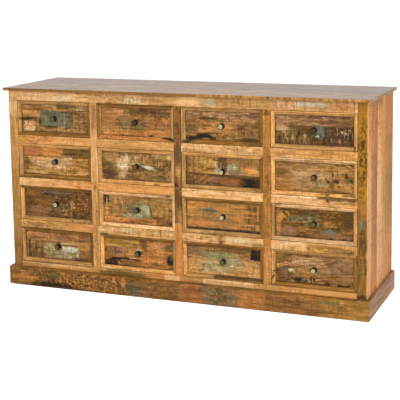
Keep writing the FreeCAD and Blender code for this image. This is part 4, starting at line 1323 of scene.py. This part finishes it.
# Back: five uprights, and in each bay two rails and a thin panel
back_frame = Piece("back_frame_boards")
back_panel = Piece("back_panel_boards")
inner_half = BODY_HALF - SIDE_THICKNESS
uprights = [-inner_half] + [opening_left(i) - MID_STILE / 2 - BACK_MEMBER / 2 for i in (1, 2, 3)]
uprights.append(inner_half - BACK_MEMBER)
back_depth = BACK - BACK_FRAME_FRONT
plain = dict(step=8 * MM, back_step=24 * MM, uneven=0)
for number, x in enumerate(uprights):
    board(back_frame, (x, BACK, PLINTH_HEIGHT), Z, X, -Y, TOP_UNDERSIDE - PLINTH_HEIGHT, BACK_MEMBER,
          back_depth, "honey", "tan", 700 + number, **plain)
for number, (x, following) in enumerate(zip(uprights, uprights[1:])):
    left, span = x + BACK_MEMBER, following - x - BACK_MEMBER
    for upper, z in enumerate((PLINTH_HEIGHT, TOP_UNDERSIDE - BACK_MEMBER)):
        board(back_frame, (left, BACK, z), X, Z, -Y, span, BACK_MEMBER, back_depth, "honey", "orange",
              710 + number + 10 * upper, **plain)
    board(back_panel, (left, BACK_FRAME_FRONT + BACK_PANEL_INSET, PLINTH_HEIGHT + BACK_MEMBER), X, Z, -Y,
          span, TOP_UNDERSIDE - PLINTH_HEIGHT - 2 * BACK_MEMBER, BACK_PANEL_THICKNESS, "tan", "bronze",
          730 + number, **plain)
back_frame.finish("back_frame", "carcass", "back_wood", back_wood)
back_panel.finish("back_panels", "carcass", "back_wood", back_wood)


# Floor, light and camera


def area_light(name, place, aim, size, power, glossy=True):
    lamp = bpy.data.lights.new(name, "AREA")
    lamp.shape, lamp.size, lamp.energy = "SQUARE", size, power
    holder = bpy.data.objects.new(name, lamp)
    holder.location = place
    holder.visible_glossy = glossy
    holder.rotation_euler = (Vector(aim) - Vector(place)).to_track_quat("-Z", "Y").to_euler()
    bpy.context.scene.collection.objects.link(holder)


def white_to_the_eye(tree):
    """A share that is 1 for camera, glossy and transmission rays."""
    path = shader_node(tree, "LightPath")
    share = math_of(tree, "MAXIMUM", path.outputs["Is Camera Ray"], path.outputs["Is Glossy Ray"])
    return math_of(tree, "MAXIMUM", share, path.outputs["Is Transmission Ray"])


AMBIENT_STRENGTH = 0.55
world = bpy.data.worlds.new("studio")
bpy.context.scene.world = world
world.use_nodes = True
tree = world.node_tree
ambient = tree.nodes["Background"]
ambient.inputs["Color"].default_value = (1, 1, 1, 1)
ambient.inputs["Strength"].default_value = AMBIENT_STRENGTH
backdrop = shader_node(tree, "Background", Color=(1, 1, 1, 1), Strength=1.0)
seen = shader_node(tree, "MixShader", I0=white_to_the_eye(tree), I1=ambient.outputs[0],
                   I2=backdrop.outputs[0])
tree.links.new(seen.outputs[0], tree.nodes["World Output"].inputs["Surface"])

FLOOR_REACH = 30.0
FLOOR_WHITE = 0.62
corners = [(side * FLOOR_REACH, end * FLOOR_REACH, 0) for side, end in ((-1, -1), (1, -1), (1, 1), (-1, 1))]
floor_mesh = bpy.data.meshes.new("floor")
floor_mesh.from_pydata(corners, [], [(0, 1, 2, 3)])
floor = bpy.data.objects.new("floor", floor_mesh)
bpy.context.scene.collection.objects.link(floor)
floor_paint = bpy.data.materials.new("pale_floor")
floor_paint.use_nodes = True
tree = floor_paint.node_tree
matt = tree.nodes["Principled BSDF"]
matt.inputs["Base Color"].default_value = (0.85, 0.85, 0.85, 1)
matt.inputs["Roughness"].default_value = 0.9
matt.inputs["Specular IOR Level"].default_value = 0.0
glow = shader_node(tree, "Emission", Color=(1, 1, 1, 1), Strength=1.0)
tree.links.new(times(tree, white_to_the_eye(tree), FLOOR_WHITE), glow.inputs["Strength"])
both = shader_node(tree, "AddShader", I0=matt.outputs[0], I1=glow.outputs[0])
tree.links.new(both.outputs[0], tree.nodes["Material Output"].inputs["Surface"])
floor_mesh.materials.append(floor_paint)

area_light("front_softbox", (2.3, -5.8, 3.1), (0, 0, 0.45), 3.5, 240, glossy=False)
area_light("right_softbox", (5.5, -1.2, 2.8), (0.6, 0, 0.5), 2.5, 80)
area_light("overhead_softbox", (0, -0.8, 4.2), (0, 0, 0.9), 3.0, 45)

# Camera as fitted to the photograph's frame
CAMERA_PLACE = (1.9027, -4.5436, 1.5006)
FOCAL_LENGTH = 94.3527
LENS_SHIFT = (-0.07, -0.225)
YAW = math.radians(-21.009)
PITCH = math.radians(7.457)
ROLL = math.radians(-0.647)
forward = Vector((math.sin(YAW) * math.cos(PITCH), math.cos(YAW) * math.cos(PITCH), -math.sin(PITCH)))
level_right = Vector((math.cos(YAW), -math.sin(YAW), 0))
level_up = level_right.cross(forward)
right = math.cos(ROLL) * level_right + math.sin(ROLL) * level_up
up = -math.sin(ROLL) * level_right + math.cos(ROLL) * level_up
lens = bpy.data.cameras.new("camera")
lens.sensor_width = 36.0
lens.lens = FOCAL_LENGTH
lens.shift_x, lens.shift_y = LENS_SHIFT
camera = bpy.data.objects.new("camera", lens)
bpy.context.scene.collection.objects.link(camera)
rows = [(right[axis], up[axis], -forward[axis], CAMERA_PLACE[axis]) for axis in range(3)]
camera.matrix_world = Matrix([*rows, (0, 0, 0, 1)])
bpy.context.scene.camera = camera
bpy.context.scene.view_settings.view_transform = "Standard"
